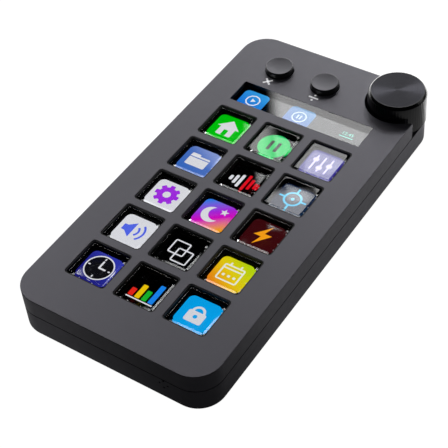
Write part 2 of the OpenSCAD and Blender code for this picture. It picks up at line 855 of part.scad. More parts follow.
module knob_cap() {
    face_z = top_z + knob_h;
    shoulder_z = face_z - knob_bevel_h;
    color("#141415") translate([knob_x, knob_y, 0]) difference() {
        union() {
            translate([0, 0, knob_z]) cylinder(r = knob_r, h = shoulder_z - knob_z);
            translate([0, 0, shoulder_z]) cylinder(r1 = knob_r, r2 = knob_face_r, h = knob_bevel_h);
        }
        difference() {
            translate([0, 0, knob_z - eps]) cylinder(r = knob_r - knob_wall, h = knob_roof_z - knob_z + eps);
            translate([0, 0, hub_z]) cylinder(r = hub_r, h = knob_roof_z - hub_z + eps);
        }
        difference() {
            translate([0, 0, hub_z - eps]) cylinder(r = shaft_r + hub_grip, h = shaft_top - hub_z + eps);
            translate([-shaft_r, shaft_r - flat_cut + hub_grip, hub_z - 2 * eps])
                cube([2 * shaft_r, flat_cut + 1, shaft_top - hub_z + 1]);
        }
        translate([0, 0, face_z - face_disc_t]) cylinder(r = face_disc_r, h = face_disc_t + eps);
    }
}

module knob_face() {
    color("#2b2b2d") translate([knob_x, knob_y, top_z + knob_h - face_disc_t])
        cylinder(r = face_disc_r - hub_grip, h = face_disc_t - face_sink);
}

// ---- the assembly ----

top_cover();
bottom_case();
base_pad();
case_screws();
key_frame();
for (row = [1:key_rows], column = [1:key_columns])
    keycap(row, column);
spring_mat();
contact_film();
strip_window();
display_panel();
backlight_tray();
mid_plate();
frame_screws();
display_flex();
flex_connector();
main_board();
board_screws();
board_chips();
usb_shell();
usb_tongue();
switch_body(button_x - button_pitch / 2);  // left_switch
switch_body(button_x + button_pitch / 2);  // right_switch
switch_plunger(button_x - button_pitch / 2);  // left_plunger
switch_plunger(button_x + button_pitch / 2);  // right_plunger
round_button(button_x - button_pitch / 2);  // left_button
round_button(button_x + button_pitch / 2);  // right_button
encoder_body();
encoder_washer();
encoder_nut();
encoder_plunger();
encoder_shaft();
knob_cap();
knob_face();
microphone();
mic_gasket();
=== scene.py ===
"""Looks of a macro keypad: clear keys over lit pictures, round buttons, a ribbed knob and every finish."""
import json
import math

import bmesh
import bpy
from bpy.props import FloatProperty, FloatVectorProperty, IntProperty, PointerProperty
from mathutils import Matrix, Vector


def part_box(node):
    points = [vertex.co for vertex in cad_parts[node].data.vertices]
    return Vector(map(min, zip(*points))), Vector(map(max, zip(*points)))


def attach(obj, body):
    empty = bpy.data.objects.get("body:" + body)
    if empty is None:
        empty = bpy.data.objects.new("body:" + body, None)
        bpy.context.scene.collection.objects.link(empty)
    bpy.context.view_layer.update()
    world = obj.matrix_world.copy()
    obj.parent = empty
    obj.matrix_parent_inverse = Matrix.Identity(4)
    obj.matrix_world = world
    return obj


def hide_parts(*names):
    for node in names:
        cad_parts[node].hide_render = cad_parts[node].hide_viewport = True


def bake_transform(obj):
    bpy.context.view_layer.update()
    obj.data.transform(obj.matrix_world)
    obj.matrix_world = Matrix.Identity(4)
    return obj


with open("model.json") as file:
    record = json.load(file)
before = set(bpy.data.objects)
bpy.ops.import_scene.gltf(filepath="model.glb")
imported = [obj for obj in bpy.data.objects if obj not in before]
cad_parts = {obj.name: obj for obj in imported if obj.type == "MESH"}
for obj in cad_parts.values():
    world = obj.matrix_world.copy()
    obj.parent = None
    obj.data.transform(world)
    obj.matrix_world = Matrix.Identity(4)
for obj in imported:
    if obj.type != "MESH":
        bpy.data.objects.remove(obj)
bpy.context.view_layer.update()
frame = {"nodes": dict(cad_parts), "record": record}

bl_info = {
    "name": "Macro keypad with knob",
    "version": (1, 0, 0),
    "blender": (4, 5, 0),
    "location": "View3D > Sidebar > Keypad",
    "description": "Models the keys, pictures, buttons and knob of a macro keypad and finishes every piece",
    "category": "Object",
}

MM = 0.001
ROWS, COLUMNS = range(1, 6), range(1, 4)
KEYS = {(row, column): f"key_r{row}_c{column}" for row in ROWS for column in COLUMNS}
COVER_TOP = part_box("top_cover")[1].z
COVER_UNDER = COVER_TOP - 1.4 * MM
DISPLAY_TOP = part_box("display_panel")[1].z
UPWARDS = Vector((0, 0, 1))
# Closer than this, a point counts as lying at a place
NEAR = 0.01 * MM
# A face lies level where its normal rises above the first, and is upright where it rises less than the second
LEVEL, UPRIGHT = 0.9, 0.2
# From the keypad to the studio's lights
LIGHT_DISTANCE = 2.4


def srgb(code):
    """Linear colour of a hex code such as 19a84c."""
    shares = [int(code[at:at + 2], 16) / 255 for at in (0, 2, 4)]
    return tuple(s / 12.92 if s <= 0.04045 else ((s + 0.055) / 1.055) ** 2.4 for s in shares)


def length(name, default, description):
    """A length property; its default is in millimetres."""
    return FloatProperty(name=name, default=default * MM, min=0, unit="LENGTH", precision=5,
                         description=description)


def degrees(name, default, description):
    """An angle property; its default is in degrees."""
    return FloatProperty(name=name, default=math.radians(default), subtype="ANGLE", description=description)


def brightness(name, default, description):
    """A brightness property."""
    return FloatProperty(name=name, default=default, min=0, description=description)


def colour(name, code, description):
    """A colour property; its default is a hex code."""
    return FloatVectorProperty(name=name, default=srgb(code), size=3, min=0, max=1, subtype="COLOR",
                               description=description)


# ---- settings ----

class KeypadSizes(bpy.types.PropertyGroup):
    """Sizes of the pieces that are modelled here."""
    cap_corner: length("Cap corner", 0.85, "Corner radius of a clear key cap in plan")
    cap_bevel: length("Cap bevel", 0.8, "Width of the polished bevel round a cap's face")
    cap_fall: length("Cap fall", 0.4, "Height of a cap's bevel")
    cap_edge: length("Cap edge", 0.04, "Rounding between a cap's face and its bevel")
    # The nubs are pale as a painted glint, so that they show as white glints on a cap's near and right sides
    cap_nub: length("Cap nub", 0.42, "Width of the frosted nubs that centre a cap in its collar")
    cap_dish: length("Cap dish", 0.135, "Depth of the hollow in a cap's face")
    cap_bowl: length("Cap bowl", 9.0, "Radius of the hollow in a cap's face")
    cap_flange: length("Cap flange", 1.15, "Reach of the flange round a cap's foot")
    flange_corner: length("Flange corner", 1.0, "Corner radius of a cap's flange in plan")
    flange_height: length("Flange height", 0.55, "Thickness of a cap's flange")
    mat_sheet: length("Mat sheet", 0.25, "Thickness of the silicone mat between the keys")
    mat_wall: length("Mat wall", 2.0, "Breadth of the soft frame under a cap's edge")
    mat_edge: length("Mat edge", 0.15, "Reach of a cap's flange past the soft frame under it")
    window_flange: length("Window flange", 1.25, "Reach of the flange round the strip window's foot")
    window_edge: length("Window edge", 0.02, "Polished bevel round the strip window")
    picture: length("Picture", 12.6, "Width of a key's picture on the display")
    picture_corner: length("Picture corner", 2.1, "Corner radius of a key's picture")
    layer: length("Picture layer", 0.02, "Thickness of one layer of a picture")
    button_face: length("Button face", 4.98, "Radius of a round button's dished face")
    button_waist: length("Button waist", 5.33, "Radius of a round button under its rim")
    button_foot: length("Button foot", 5.55, "Radius of a round button where it enters the cover")
    button_dish: length("Button dish", 0.3, "Depth of the dish in a round button")
    button_flange: length("Button flange", 0.8, "Thickness of the flange that keeps a round button in")
    knob_edge: length("Knob edge", 10.0, "Radius of the knob's face with its rim")
    knob_bevel: length("Knob bevel", 1.0, "Height of the knob's polished bevel")
    knob_wall: length("Knob wall", 2.0, "Wall of the hollow knob")
    rib_depth: length("Rib depth", 0.12, "Depth of the grooves between the knob's ribs")
    ribs: IntProperty(name="Ribs", default=60, min=24, max=160, description="Ribs round the knob")
    mark_span: length("Mark span", 4.0, "Width of the printed signs by the round buttons")
    mark_stroke: length("Mark stroke", 0.75, "Stroke of the printed signs")


class KeypadColours(bpy.types.PropertyGroup):
    """Colours that a user would change."""
    cover: colour("Cover", "343339", "Upper cover, satin moulding")
    case: colour("Case", "343339", "Lower case, satin moulding")
    button: colour("Buttons", "343337", "Faces of the round buttons")
    knob: colour("Knob", "0e0e10", "Gloss side of the knob")
    knob_face: colour("Knob face", "333338", "Spun metal disc on the knob")
    mark: colour("Marks", "f0f0f2", "Printed signs by the round buttons")


class KeypadStage(bpy.types.PropertyGroup):
    """Camera and studio."""
    azimuth: degrees("Azimuth", 36.842, "Turn of the camera round the keypad, from the front")
    elevation: degrees("Elevation", 46.048, "Height of the camera above the horizon")
    roll: degrees("Roll", -5.241, "Turn of the camera about its own line of sight")
    lens: FloatProperty(name="Lens", default=101.23, min=10, description="Focal length, 36 mm sensor")
    distance: length("Distance", 431.909, "From the camera to the point it looks at")
    target: FloatVectorProperty(name="Target", default=(0.006797, -0.017312, 0.0179), size=3, subtype="XYZ",
                                unit="LENGTH", description="Point the camera looks at")
    window: brightness("Window light", 2.4, "Soft light behind the keypad")
    fan: brightness("Fan light", 19.0, "Small light that draws fans on the knob's face")
    rim: brightness("Rim light", 6.0, "Small low light on the left")
    backdrop: brightness("Backdrop light", 3.0, "Wide low light behind the keypad")
    left: brightness("Left light", 3.1, "Soft light on the left")
    key: brightness("Key light", 1.0, "Small light high above")
    edge: brightness("Edge light", 0.75, "Small low light on the right")
    fill: brightness("Fill", 0.08, "Even light from all round")
    floor: brightness("Floor glow", 1.0, "Light table, as the camera sees it")
    floor_front: brightness("Floor light in front", 0.035, "Light thrown on the keypad's front corner")
    floor_left: brightness("Floor light on the left", 0.22, "Light thrown on the keypad's left end")
    floor_right: brightness("Floor light on the right", 0.38, "Light thrown on the keypad's right wall")
    floor_back: brightness("Floor light behind", 4.0, "Light thrown on the keypad from behind")


# ---- ways to work on a mesh ----

def deselect():
    """Back to object mode with nothing selected."""
    if bpy.context.object and bpy.context.object.mode != "OBJECT":
        bpy.ops.object.mode_set(mode="OBJECT")
    bpy.ops.object.select_all(action="DESELECT")


def pick(kind, test):
    """Selects the edited piece's verts, edges or faces that pass the test, and nothing else."""
    bpy.ops.mesh.select_mode(type={"verts": "VERT", "edges": "EDGE", "faces": "FACE"}[kind])
    bpy.ops.mesh.select_all(action="DESELECT")
    mesh = bmesh.from_edit_mesh(bpy.context.object.data)
    for part in getattr(mesh, kind):
        if test(part):
            part.select_set(True)
    mesh.select_flush_mode()
    bmesh.update_edit_mesh(bpy.context.object.data)


def middle(edge):
    """Middle of an edge."""
    return (edge.verts[0].co + edge.verts[1].co) / 2


def extrude(x=0.0, y=0.0, z=0.0):
    """Draws the selection out by a step."""
    bpy.ops.mesh.extrude_region_move(TRANSFORM_OT_translate={"value": (x, y, z)})


def face_outwards():
    """Merges doubles, then turns every face of the edited solid outwards."""
    bpy.ops.mesh.select_all(action="SELECT")
    bpy.ops.mesh.remove_doubles(threshold=0.001 * MM)
    bpy.ops.mesh.normals_make_consistent(inside=False)


def centre_of(node):
    """Middle of a node's box at rest."""
    low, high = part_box(node)
    return (low + high) / 2


def plate(centre, width, depth, height, parts=0):
    """Starts a piece as a flat face at a height, in several parts each way if asked, and edits it."""
    deselect()
    place = (centre.x, centre.y, height)
    if parts:
        bpy.ops.mesh.primitive_grid_add(x_subdivisions=parts, y_subdivisions=parts, size=1, location=place)
    else:
        bpy.ops.mesh.primitive_plane_add(size=1, location=place)
    bpy.context.object.scale = (width, depth, 1)
    bpy.ops.object.transform_apply(location=True, rotation=False, scale=True)
    bpy.ops.object.mode_set(mode="EDIT")


def flanged_walls(centre, width, depth, top, step, foot, reach):
    """Draws the edge of the face just made down to a step, out to a flange and down, and closes its foot."""
    bpy.ops.mesh.select_all(action="SELECT")
    bpy.ops.mesh.region_to_loop()
    extrude(z=step - top)
    extrude()
    bpy.ops.transform.resize(value=(1 + 2 * reach / width, 1 + 2 * reach / depth, 0),
                             center_override=(centre.x, centre.y, step))
    extrude(z=foot - step)
    bpy.ops.mesh.edge_face_add()
    face_outwards()


def settle(name, material, sharp=35):
    """Ends the work on the active piece: place into the mesh, smooth shading, name and material."""
    if bpy.context.object.mode != "OBJECT":
        bpy.ops.object.mode_set(mode="OBJECT")
    piece = bpy.context.object
    bpy.ops.object.transform_apply(location=True, rotation=True, scale=True)
    bpy.ops.object.shade_smooth_by_angle(angle=math.radians(sharp))
    piece.name = name
    piece.data.name = name
    piece.data.materials.append(material)
    return piece


def draw_out(piece, axis, place, goal):
    """Moves the points of a piece that lie at one place on an axis to another."""
    deselect()
    bpy.context.view_layer.objects.active = piece
    piece.select_set(True)
    bpy.ops.object.mode_set(mode="EDIT")
    pick("verts", lambda v: abs(v.co[axis] - place) < NEAR)
    shift = [0, 0, 0]
    shift[axis] = goal - place
    bpy.ops.transform.translate(value=shift)
    deselect()


def coat(piece, material, test):
    """Gives the faces of a piece that pass the test another finish."""
    piece.data.materials.append(material)
    for face in piece.data.polygons:
        if test(face):
            face.material_index = len(piece.data.materials) - 1


def coat_foot(piece, foot):
    """Gives the flat underside of a clear piece its anti-glare coating."""
    if "coated_foot" not in bpy.data.materials:
        clear("coated_foot", (0.97, 0.98, 0.98), ior=1.15, coat=0.0)
    coat(piece, bpy.data.materials["coated_foot"],
         lambda face: face.normal.z < -LEVEL and abs(face.center.z - foot) < NEAR)


def paint_shade_black(piece, top):
    """Painted shade: gives the upright sides and the flange of a clear piece a black coat, up to a height, so
    that they show as dark as shade.
    """
    def side_or_flange(face):
        flange = face.normal.z > LEVEL and face.center.z < top - MM
        return face.center.z < top and (abs(face.normal.z) < UPRIGHT or flange)
    coat(piece, finish_of("black_frame"), side_or_flange)


def copy_to(piece, name, shift):
    """Copy of a finished piece with its own mesh, moved by shift."""
    twin = piece.copy()
    twin.data = piece.data.copy()
    twin.data.transform(Matrix.Translation(shift))
    twin.name = name
    twin.data.name = name
    bpy.context.scene.collection.objects.link(twin)
    return twin


def to_every_key(piece, stem):
    """The piece of the first key and its copies at the other keys, by the key's node."""
    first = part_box(KEYS[1, 1])[0]
    pieces = {}
    for (row, column), node in KEYS.items():
        pieces[node] = piece
        if node != KEYS[1, 1]:
            pieces[node] = copy_to(piece, f"{stem}_r{row}_c{column}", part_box(node)[0] - first)
    return pieces


def turned(x, y, profile, steps):
    """Closed solid of revolution: a disc drawn out ring by ring along (radius, height) pairs."""
    deselect()
    radius, height = profile[0]
    bpy.ops.mesh.primitive_circle_add(vertices=steps, radius=radius, fill_type="NGON",
                                      location=(x, y, height))
    bpy.ops.object.transform_apply(location=True)
    bpy.ops.object.mode_set(mode="EDIT")
    bpy.ops.mesh.select_all(action="SELECT")
    for next_radius, next_height in profile[1:]:
        extrude(z=next_height - height)
        share = next_radius / radius
        bpy.ops.transform.resize(value=(share, share, 1), center_override=(x, y, next_height))
        radius, height = next_radius, next_height
    face_outwards()


# ---- finishes ----

DISPLAY_BLACK = (0.006, 0.006, 0.008)
DISPLAY_IOR = 1.8


class Finish:
    """A material under way: its surface shader, object coordinates, and short ways to add nodes."""

    def __init__(self, name, roughness=0.5, specular=0.5, metallic=0.0):
        self.material = bpy.data.materials.new(name)
        self.material.use_nodes = True
        self.nodes = self.material.node_tree.nodes
        self.surface = self.nodes["Principled BSDF"]
        self.place = self.add("ShaderNodeTexCoord").outputs["Object"]
        self.set(Roughness=roughness, Specular_IOR_Level=specular, Metallic=metallic)

    def add(self, kind, **inputs):
        """New node; inputs are named after its sockets, and take a value or another node's output."""
        node = self.nodes.new(kind)
        self.fill(node, inputs)
        return node

    def set(self, **inputs):
        """Sets or links the surface shader's own sockets."""
        self.fill(self.surface, inputs)

    def fill(self, node, inputs):
        """Sets a node's sockets to values, or links them to other nodes' outputs."""
        for name, value in inputs.items():
            socket = node.inputs[name.replace("_", " ")]
            if isinstance(value, bpy.types.NodeSocket):
                self.material.node_tree.links.new(value, socket)
            else:
                socket.default_value = value

    def noise(self, size, stretch=(1, 1, 1), detail=3.0):
        """Noise whose grains have a size in metres, drawn out along an axis where stretch is small."""
        place = self.add("ShaderNodeMapping", Vector=self.place, Scale=stretch).outputs["Vector"]
        return self.add("ShaderNodeTexNoise", Vector=place, Scale=1 / size, Detail=detail).outputs["Fac"]

    def between(self, share, low, high, start=0.0, end=1.0):
        """Value that goes from low to high as share goes from start to end."""
        return self.add("ShaderNodeMapRange", Value=share, From_Min=start, From_Max=end,
                        To_Min=low, To_Max=high).outputs["Result"]

    def ramp(self, share, stops):
        """Colour ramp through (place, colour) stops."""
        node = self.add("ShaderNodeValToRGB", Fac=share)
        elements = node.color_ramp.elements
        while len(elements) < len(stops):
            elements.new(0.5)
        for element, (place, tone) in zip(elements, stops):
            element.position = place
            element.color = (*tone, 1)
        return node.outputs["Color"]

    def blotch(self, tone, spread, size):
        """Base colour that varies gently about a tone."""
        darker, lighter = ([channel * (1 + way * spread) for channel in tone] for way in (-1, 1))
        self.set(Base_Color=self.ramp(self.noise(size), [(0.3, darker), (0.7, lighter)]))

    def uneven(self, roughness, spread, size, stretch=(1, 1, 1)):
        """Roughness that varies about a value."""
        self.set(Roughness=self.between(self.noise(size, stretch), roughness - spread, roughness + spread,
                                        0.3, 0.7))

    def bump(self, height, depth, strength=1.0):
        """Raises the surface by a height pattern of some depth in metres."""
        self.set(Normal=self.add("ShaderNodeBump", Height=height, Distance=depth,
                                 Strength=strength).outputs["Normal"])


def moulded(name, tone, roughness, specular=0.4, grain=0.22, depth=0.006, sheen=(1, 1, 1), glow=0.0):
    """Fine-grained moulded plastic; grain and depth are in millimetres. A glow above nought is painted light:
    the tone glows, though the piece is no lamp.
    """
    finish = Finish(name, specular=specular)
    if glow:
        finish.set(Emission_Color=(*tone, 1), Emission_Strength=glow)
    finish.set(IOR=1.6, Specular_Tint=(*sheen, 1))
    finish.blotch(tone, spread=0.05, size=9 * MM)
    finish.uneven(roughness, spread=0.03, size=2.5 * MM)
    finish.bump(finish.noise(grain * MM), depth * MM)
    return finish.material


def gloss(name, tone, roughness=0.08, specular=0.5, spread=0.03, ior=1.5):
    """Polished plastic or glass with faint swirl marks."""
    finish = Finish(name, specular=specular)
    finish.set(IOR=ior)
    finish.blotch(tone, spread=0.08, size=4 * MM)
    finish.uneven(roughness, spread=spread, size=1.2 * MM, stretch=(1, 0.25, 1))
    return finish.material


def clear(name, tint, roughness=0.01, ior=1.49, coat=1.0):
    """Clear polished plastic with a faint uneven polish, under a hard gloss coat."""
    finish = Finish(name, specular=0.5)
    finish.blotch(tint, spread=0.015, size=3 * MM)
    finish.uneven(roughness, spread=0.006, size=1.5 * MM)
    finish.set(Transmission_Weight=1.0, IOR=ior, Coat_Weight=coat, Coat_Roughness=0.01)
    return finish.material


def painted_glint_finish(name):
    """Painted glint: a pale, rough, opaque finish that makes small nubs show as white glints, where real nubs
    would be clear plastic.
    """
    finish = Finish(name, specular=0.5)
    finish.blotch((0.75, 0.76, 0.78), spread=0.06, size=0.4 * MM)
    finish.uneven(0.35, spread=0.08, size=0.3 * MM)
    return finish.material


def rubbery(name, tone, grain=0.5, depth=0.04):
    """Matt rubber with a pebbled surface."""
    finish = Finish(name, specular=0.25)
    finish.blotch(tone, spread=0.12, size=6 * MM)
    finish.uneven(0.78, spread=0.06, size=1.5 * MM)
    cells = finish.add("ShaderNodeTexVoronoi", Vector=finish.place, Scale=1 / (grain * MM))
    finish.bump(cells.outputs["Distance"], depth * MM, strength=0.6)
    return finish.material


def metal(name, tone, roughness, lay=(1, 1, 1), grain=0.12, depth=0.003):
    """Metal with a grain drawn out along the axis where lay is small."""
    finish = Finish(name, metallic=1.0)
    finish.blotch(tone, spread=0.07, size=3 * MM)
    finish.uneven(roughness, spread=0.06, size=grain * MM, stretch=lay)
    finish.bump(finish.noise(grain * MM, lay), depth * MM)
    return finish.material


def board(name, mask, track):
    """Circuit board: green solder mask over raised copper tracks."""
    finish = Finish(name, specular=0.5)
    bricks = finish.add("ShaderNodeTexBrick", Vector=finish.place, Scale=1 / (6 * MM), Mortar_Size=0.02,
                        Brick_Width=1.4, Row_Height=0.16)
    tracks = bricks.outputs["Fac"]
    finish.set(Base_Color=finish.ramp(tracks, [(0.2, mask), (0.8, track)]))
    finish.uneven(0.28, spread=0.05, size=3 * MM)
    finish.bump(tracks, depth=0.03 * MM, strength=0.7)
    return finish.material


def stripes(finish, spacing):
    """Bands across X at a spacing in millimetres."""
    per_metre = 0.314 / (spacing * MM)
    return finish.add("ShaderNodeTexWave", Vector=finish.place, Scale=per_metre).outputs["Fac"]


def film(name, tone):
    """Thin polyimide film with printed conductors along Y."""
    finish = Finish(name, roughness=0.3, specular=0.5)
    wave = stripes(finish, 0.8)
    darker = [channel * 0.6 for channel in tone]
    finish.set(Base_Color=finish.ramp(wave, [(0.45, tone), (0.6, darker)]))
    finish.bump(wave, depth=0.01 * MM, strength=0.5)
    return finish.material


def about_knob(finish):
    """Place from the knob's axis, in the object's own coordinates."""
    centre = centre_of("knob_cap")
    return finish.add("ShaderNodeMapping", Vector=finish.place,
                      Location=(-centre.x, -centre.y, 0)).outputs["Vector"]


def spun(name, tone):
    """Spun metal disc: fine circles about the knob's axis, with the glint that they spread."""
    finish = Finish(name, metallic=1.0)
    flat = finish.add("ShaderNodeVectorMath", Vector=about_knob(finish))
    flat.operation = "MULTIPLY"
    flat.inputs[1].default_value = (1, 1, 0)
    radius = finish.add("ShaderNodeVectorMath", Vector=flat.outputs["Vector"])
    radius.operation = "LENGTH"
    rings = finish.add("ShaderNodeTexNoise")
    rings.noise_dimensions = "1D"
    finish.fill(rings, {"W": radius.outputs["Value"], "Scale": 1 / (0.1 * MM), "Detail": 2.0})
    circles = rings.outputs["Fac"]
    tangent = finish.add("ShaderNodeVectorTransform", Vector=flat.outputs["Vector"])
    tangent.vector_type = "VECTOR"
    tangent.convert_from = "OBJECT"
    tangent.convert_to = "WORLD"
    darker = [channel * 0.85 for channel in tone]
    finish.set(Base_Color=finish.ramp(circles, [(0.3, darker), (0.7, tone)]), Anisotropic=1.0,
               Tangent=tangent.outputs["Vector"], Roughness=finish.between(circles, 0.26, 0.33, 0.3, 0.7))
    finish.bump(circles, depth=0.002 * MM, strength=0.5)
    return finish.material


def lit(name, stops, centre, span, turn):
    """Part of a lit display: a colour, or a blend through several across span, with the screen's pixels."""
    finish = Finish(name, roughness=0.02, specular=0.65)
    along = finish.add("ShaderNodeMapping", Vector=finish.place,
                       Location=(-centre[0], -centre[1], 0)).outputs["Vector"]
    turned_place = finish.add("ShaderNodeMapping", Vector=along, Rotation=(0, 0, math.radians(turn)),
                              Scale=(1 / span, 1 / span, 1)).outputs["Vector"]
    share = finish.add("ShaderNodeSeparateXYZ", Vector=turned_place).outputs["X"]
    blend = finish.ramp(finish.between(share, 0.0, 1.0, -0.5, 0.5), stops)
    shade = finish.add("ShaderNodeVectorMath", Vector=blend)
    shade.operation = "SCALE"
    finish.fill(shade, {"Scale": finish.between(stripes(finish, 0.11), 0.9, 1.06)})
    finish.set(Base_Color=(*DISPLAY_BLACK, 1), IOR=DISPLAY_IOR, Emission_Color=shade.outputs["Vector"],
               Emission_Strength=1.0)
    return finish.material


def slot_finishes(colours):
    """Maker of the finish of each material slot in the record."""
    sheen = (0.9, 0.88, 1.0)
    # Grain of a metal is drawn out along the axis with the small share
    along_x, along_y, along_z = (0.1, 1, 1), (1, 0.1, 1), (1, 1, 0.05)
    return {
        "cover": lambda: moulded("satin_cover", colours.cover, 0.42, specular=0.9, sheen=sheen),
        "case": lambda: moulded("satin_case", colours.case, 0.45, specular=0.9, sheen=sheen),
        "base_rubber": lambda: rubbery("pebbled_pad", (0.012, 0.012, 0.013)),
        "screw_steel": lambda: metal("plated_steel", (0.55, 0.55, 0.57), 0.3),
        "black_frame": lambda: moulded("black_frame", (0.006, 0.006, 0.008), 0.45, specular=0.22),
        "clear_cap": lambda: clear("clear_cap", (0.97, 0.98, 0.98)),
        "clear_window": lambda: clear("clear_window", (0.9, 0.91, 0.93)),
        "silicone": lambda: rubbery("black_silicone", (0.008, 0.008, 0.009), grain=0.3, depth=0.01),
        "amber_film": lambda: film("amber_film", (0.45, 0.22, 0.04)),
        "display_glass": lambda: gloss("display_glass", DISPLAY_BLACK, 0.02, specular=0.65, spread=0.003,
                                       ior=DISPLAY_IOR),
        "tray_metal": lambda: metal("folded_tray", (0.6, 0.61, 0.62), 0.35, lay=along_x),
        "plate_steel": lambda: metal("stamped_plate", (0.45, 0.46, 0.48), 0.4, lay=along_y),
        "ivory_plastic": lambda: moulded("ivory_plastic", (0.6, 0.57, 0.5), 0.45, specular=0.5),
        "board_green": lambda: board("green_board", mask=(0.006, 0.05, 0.02), track=(0.02, 0.13, 0.05)),
        "chip_black": lambda: moulded("chip_compound", (0.012, 0.012, 0.014), 0.6, grain=0.1, depth=0.01),
        "socket_steel": lambda: metal("drawn_steel", (0.5, 0.5, 0.52), 0.24, lay=(1, 0.08, 1)),
        "switch_black": lambda: moulded("switch_black", (0.015, 0.015, 0.016), 0.5),
        "button_plastic": lambda: moulded("button_satin", colours.button, 0.42, specular=0.65, grain=0.2,
                                          depth=0.004, sheen=sheen),
        "encoder_metal": lambda: metal("pressed_steel", (0.45, 0.45, 0.47), 0.38),
        "shaft_metal": lambda: metal("turned_shaft", (0.6, 0.6, 0.62), 0.28, lay=along_z),
        "knob_gloss": lambda: gloss("knob_gloss", colours.knob, 0.14, specular=0.6),
        "knob_face_metal": lambda: spun("spun_face", colours.knob_face),
    }


def finish_of(slot):
    """The finish of a material slot, made once."""
    makers = slot_finishes(bpy.context.scene.keypad_colours)
    name = "slot_" + slot
    if name not in bpy.data.materials:
        makers[slot]().name = name
    return bpy.data.materials[name]


# ---- drawing on the display ----

PAPER = srgb("e4e4ea")
WHITE = [(0.0, PAPER), (1.0, PAPER)]


def plain(code):
    """Stops of a single colour."""
    return [(0.0, srgb(code)), (1.0, srgb(code))]


class Drawing:
    """Flat shapes in thin layers on the display, about a centre. Its lengths are in millimetres."""
    # Gap under each layer, as a share of its thickness
    GAP = 0.1

    def __init__(self, x, y):
        self.x, self.y = x, y
        self.parts = []
        self.layer_height = bpy.context.scene.keypad_sizes.layer

    def ink(self, stops, turn=0.0, span=13.0):
        """Lit finish for this drawing, named after its colours."""
        name = "lit_" + "_".join("".join(f"{round(255 * c):02x}" for c in tone) for _, tone in stops)
        if len(set(stops)) > 1 and stops[0][1] != stops[-1][1]:
            name += f"_{round(self.x / MM)}_{round(self.y / MM)}"
        if name not in bpy.data.materials:
            lit(name, stops, (self.x, self.y), span * MM, turn).name = name
        return bpy.data.materials[name]

    def at(self, x, y):
        """Place of a point of the drawing."""
        return (self.x + x * MM, self.y + y * MM, 0)

    def keep(self, ink, layer):
        """Gives the face just drawn its thickness, its layer over the display and its ink."""
        bpy.ops.object.mode_set(mode="EDIT")
        bpy.ops.mesh.select_all(action="SELECT")
        extrude(z=self.layer_height)
        face_outwards()
        bpy.ops.object.mode_set(mode="OBJECT")
        shape = bpy.context.object
        shape.location.z = DISPLAY_TOP + self.layer_height * (self.GAP + (1 + self.GAP) * layer)
        bpy.ops.object.transform_apply(location=True, rotation=True, scale=True)
        shape.data.materials.append(ink)
        self.parts.append(shape)
        deselect()

    def hollow(self, width):
        """Leaves only a border of the face just drawn."""
        bpy.ops.object.mode_set(mode="EDIT")
        bpy.ops.mesh.select_all(action="SELECT")
        bpy.ops.mesh.inset(thickness=width * MM)
        bpy.ops.mesh.delete(type="FACE")
        bpy.ops.object.mode_set(mode="OBJECT")

    def disc(self, x, y, radius, ink, layer=1, corners=64, turn=0.0, border=0.0):
        """Disc or regular polygon, or its border alone."""
        deselect()
        bpy.ops.mesh.primitive_circle_add(vertices=corners, radius=radius * MM, fill_type="NGON",
                                          location=self.at(x, y), rotation=(0, 0, math.radians(turn)))
        if border:
            self.hollow(border)
        self.keep(ink, layer)

    def bar(self, x, y, width, height, ink, layer=1, corner=0.0, turn=0.0, border=0.0):
        """Rectangle with round corners, or its border alone."""
        deselect()
        bpy.ops.mesh.primitive_plane_add(size=1, location=self.at(x, y), rotation=(0, 0, math.radians(turn)))
        bpy.context.object.scale = (width * MM, height * MM, 1)
        bpy.ops.object.transform_apply(location=False, rotation=False, scale=True)
        if corner:
            bpy.ops.object.mode_set(mode="EDIT")
            bpy.ops.mesh.select_all(action="SELECT")
            bpy.ops.mesh.bevel(offset=corner * MM, segments=8, affect="VERTICES")
            bpy.ops.object.mode_set(mode="OBJECT")
        if border:
            self.hollow(border)
        self.keep(ink, layer)

    def outline(self, corners, ink, layer=1):
        """Face drawn corner by corner."""
        deselect()
        bpy.ops.mesh.primitive_plane_add(size=MM, location=self.at(*corners[0]))
        bpy.ops.object.mode_set(mode="EDIT")
        bpy.ops.mesh.select_mode(type="VERT")
        bpy.ops.mesh.select_all(action="SELECT")
        bpy.ops.mesh.merge(type="CENTER")
        for (x0, y0), (x1, y1) in zip(corners, corners[1:]):
            extrude((x1 - x0) * MM, (y1 - y0) * MM)
        bpy.ops.mesh.select_all(action="SELECT")
        bpy.ops.mesh.edge_face_add()
        bpy.ops.object.mode_set(mode="OBJECT")
        self.keep(ink, layer)

    def arc(self, x, y, radius, width, start, end, ink, layer=1):
        """Part of a ring between two angles, at most half a turn."""
        deselect()
        bpy.ops.mesh.primitive_circle_add(vertices=64, radius=radius * MM, fill_type="NGON",
                                          location=self.at(x, y))
        self.hollow(width)
        bpy.ops.object.mode_set(mode="EDIT")
        for angle, side in ((math.radians(start), 1), (math.radians(end), -1)):
            bpy.ops.mesh.select_all(action="SELECT")
            bpy.ops.mesh.bisect(plane_co=self.at(x, y), clear_inner=True,
                                plane_no=(-side * math.sin(angle), side * math.cos(angle), 0))
        bpy.ops.object.mode_set(mode="OBJECT")
        self.keep(ink, layer)

    def star(self, x, y, radius, ink, layer=1):
        """Five-pointed star."""
        inner = 0.42 * radius
        turns = [math.radians(90 + 36 * step) for step in range(10)]
        self.outline([(x + reach * math.cos(turn), y + reach * math.sin(turn))
                      for turn, reach in zip(turns, 5 * (radius, inner))], ink, layer)

    def digits(self, x, y, height, body, ink, layer=1):
        """Numerals, made a mesh."""
        deselect()
        bpy.ops.object.text_add(location=self.at(x, y))
        words = bpy.context.object
        words.data.body = body
        words.data.size = height * MM
        bpy.ops.object.convert(target="MESH")
        self.keep(ink, layer)

    def tile(self, ink, layer=0):
        """Rounded square that fills the key's picture."""
        sizes = bpy.context.scene.keypad_sizes
        side = sizes.picture / MM
        self.bar(0, 0, side, side, ink, layer, corner=sizes.picture_corner / MM)

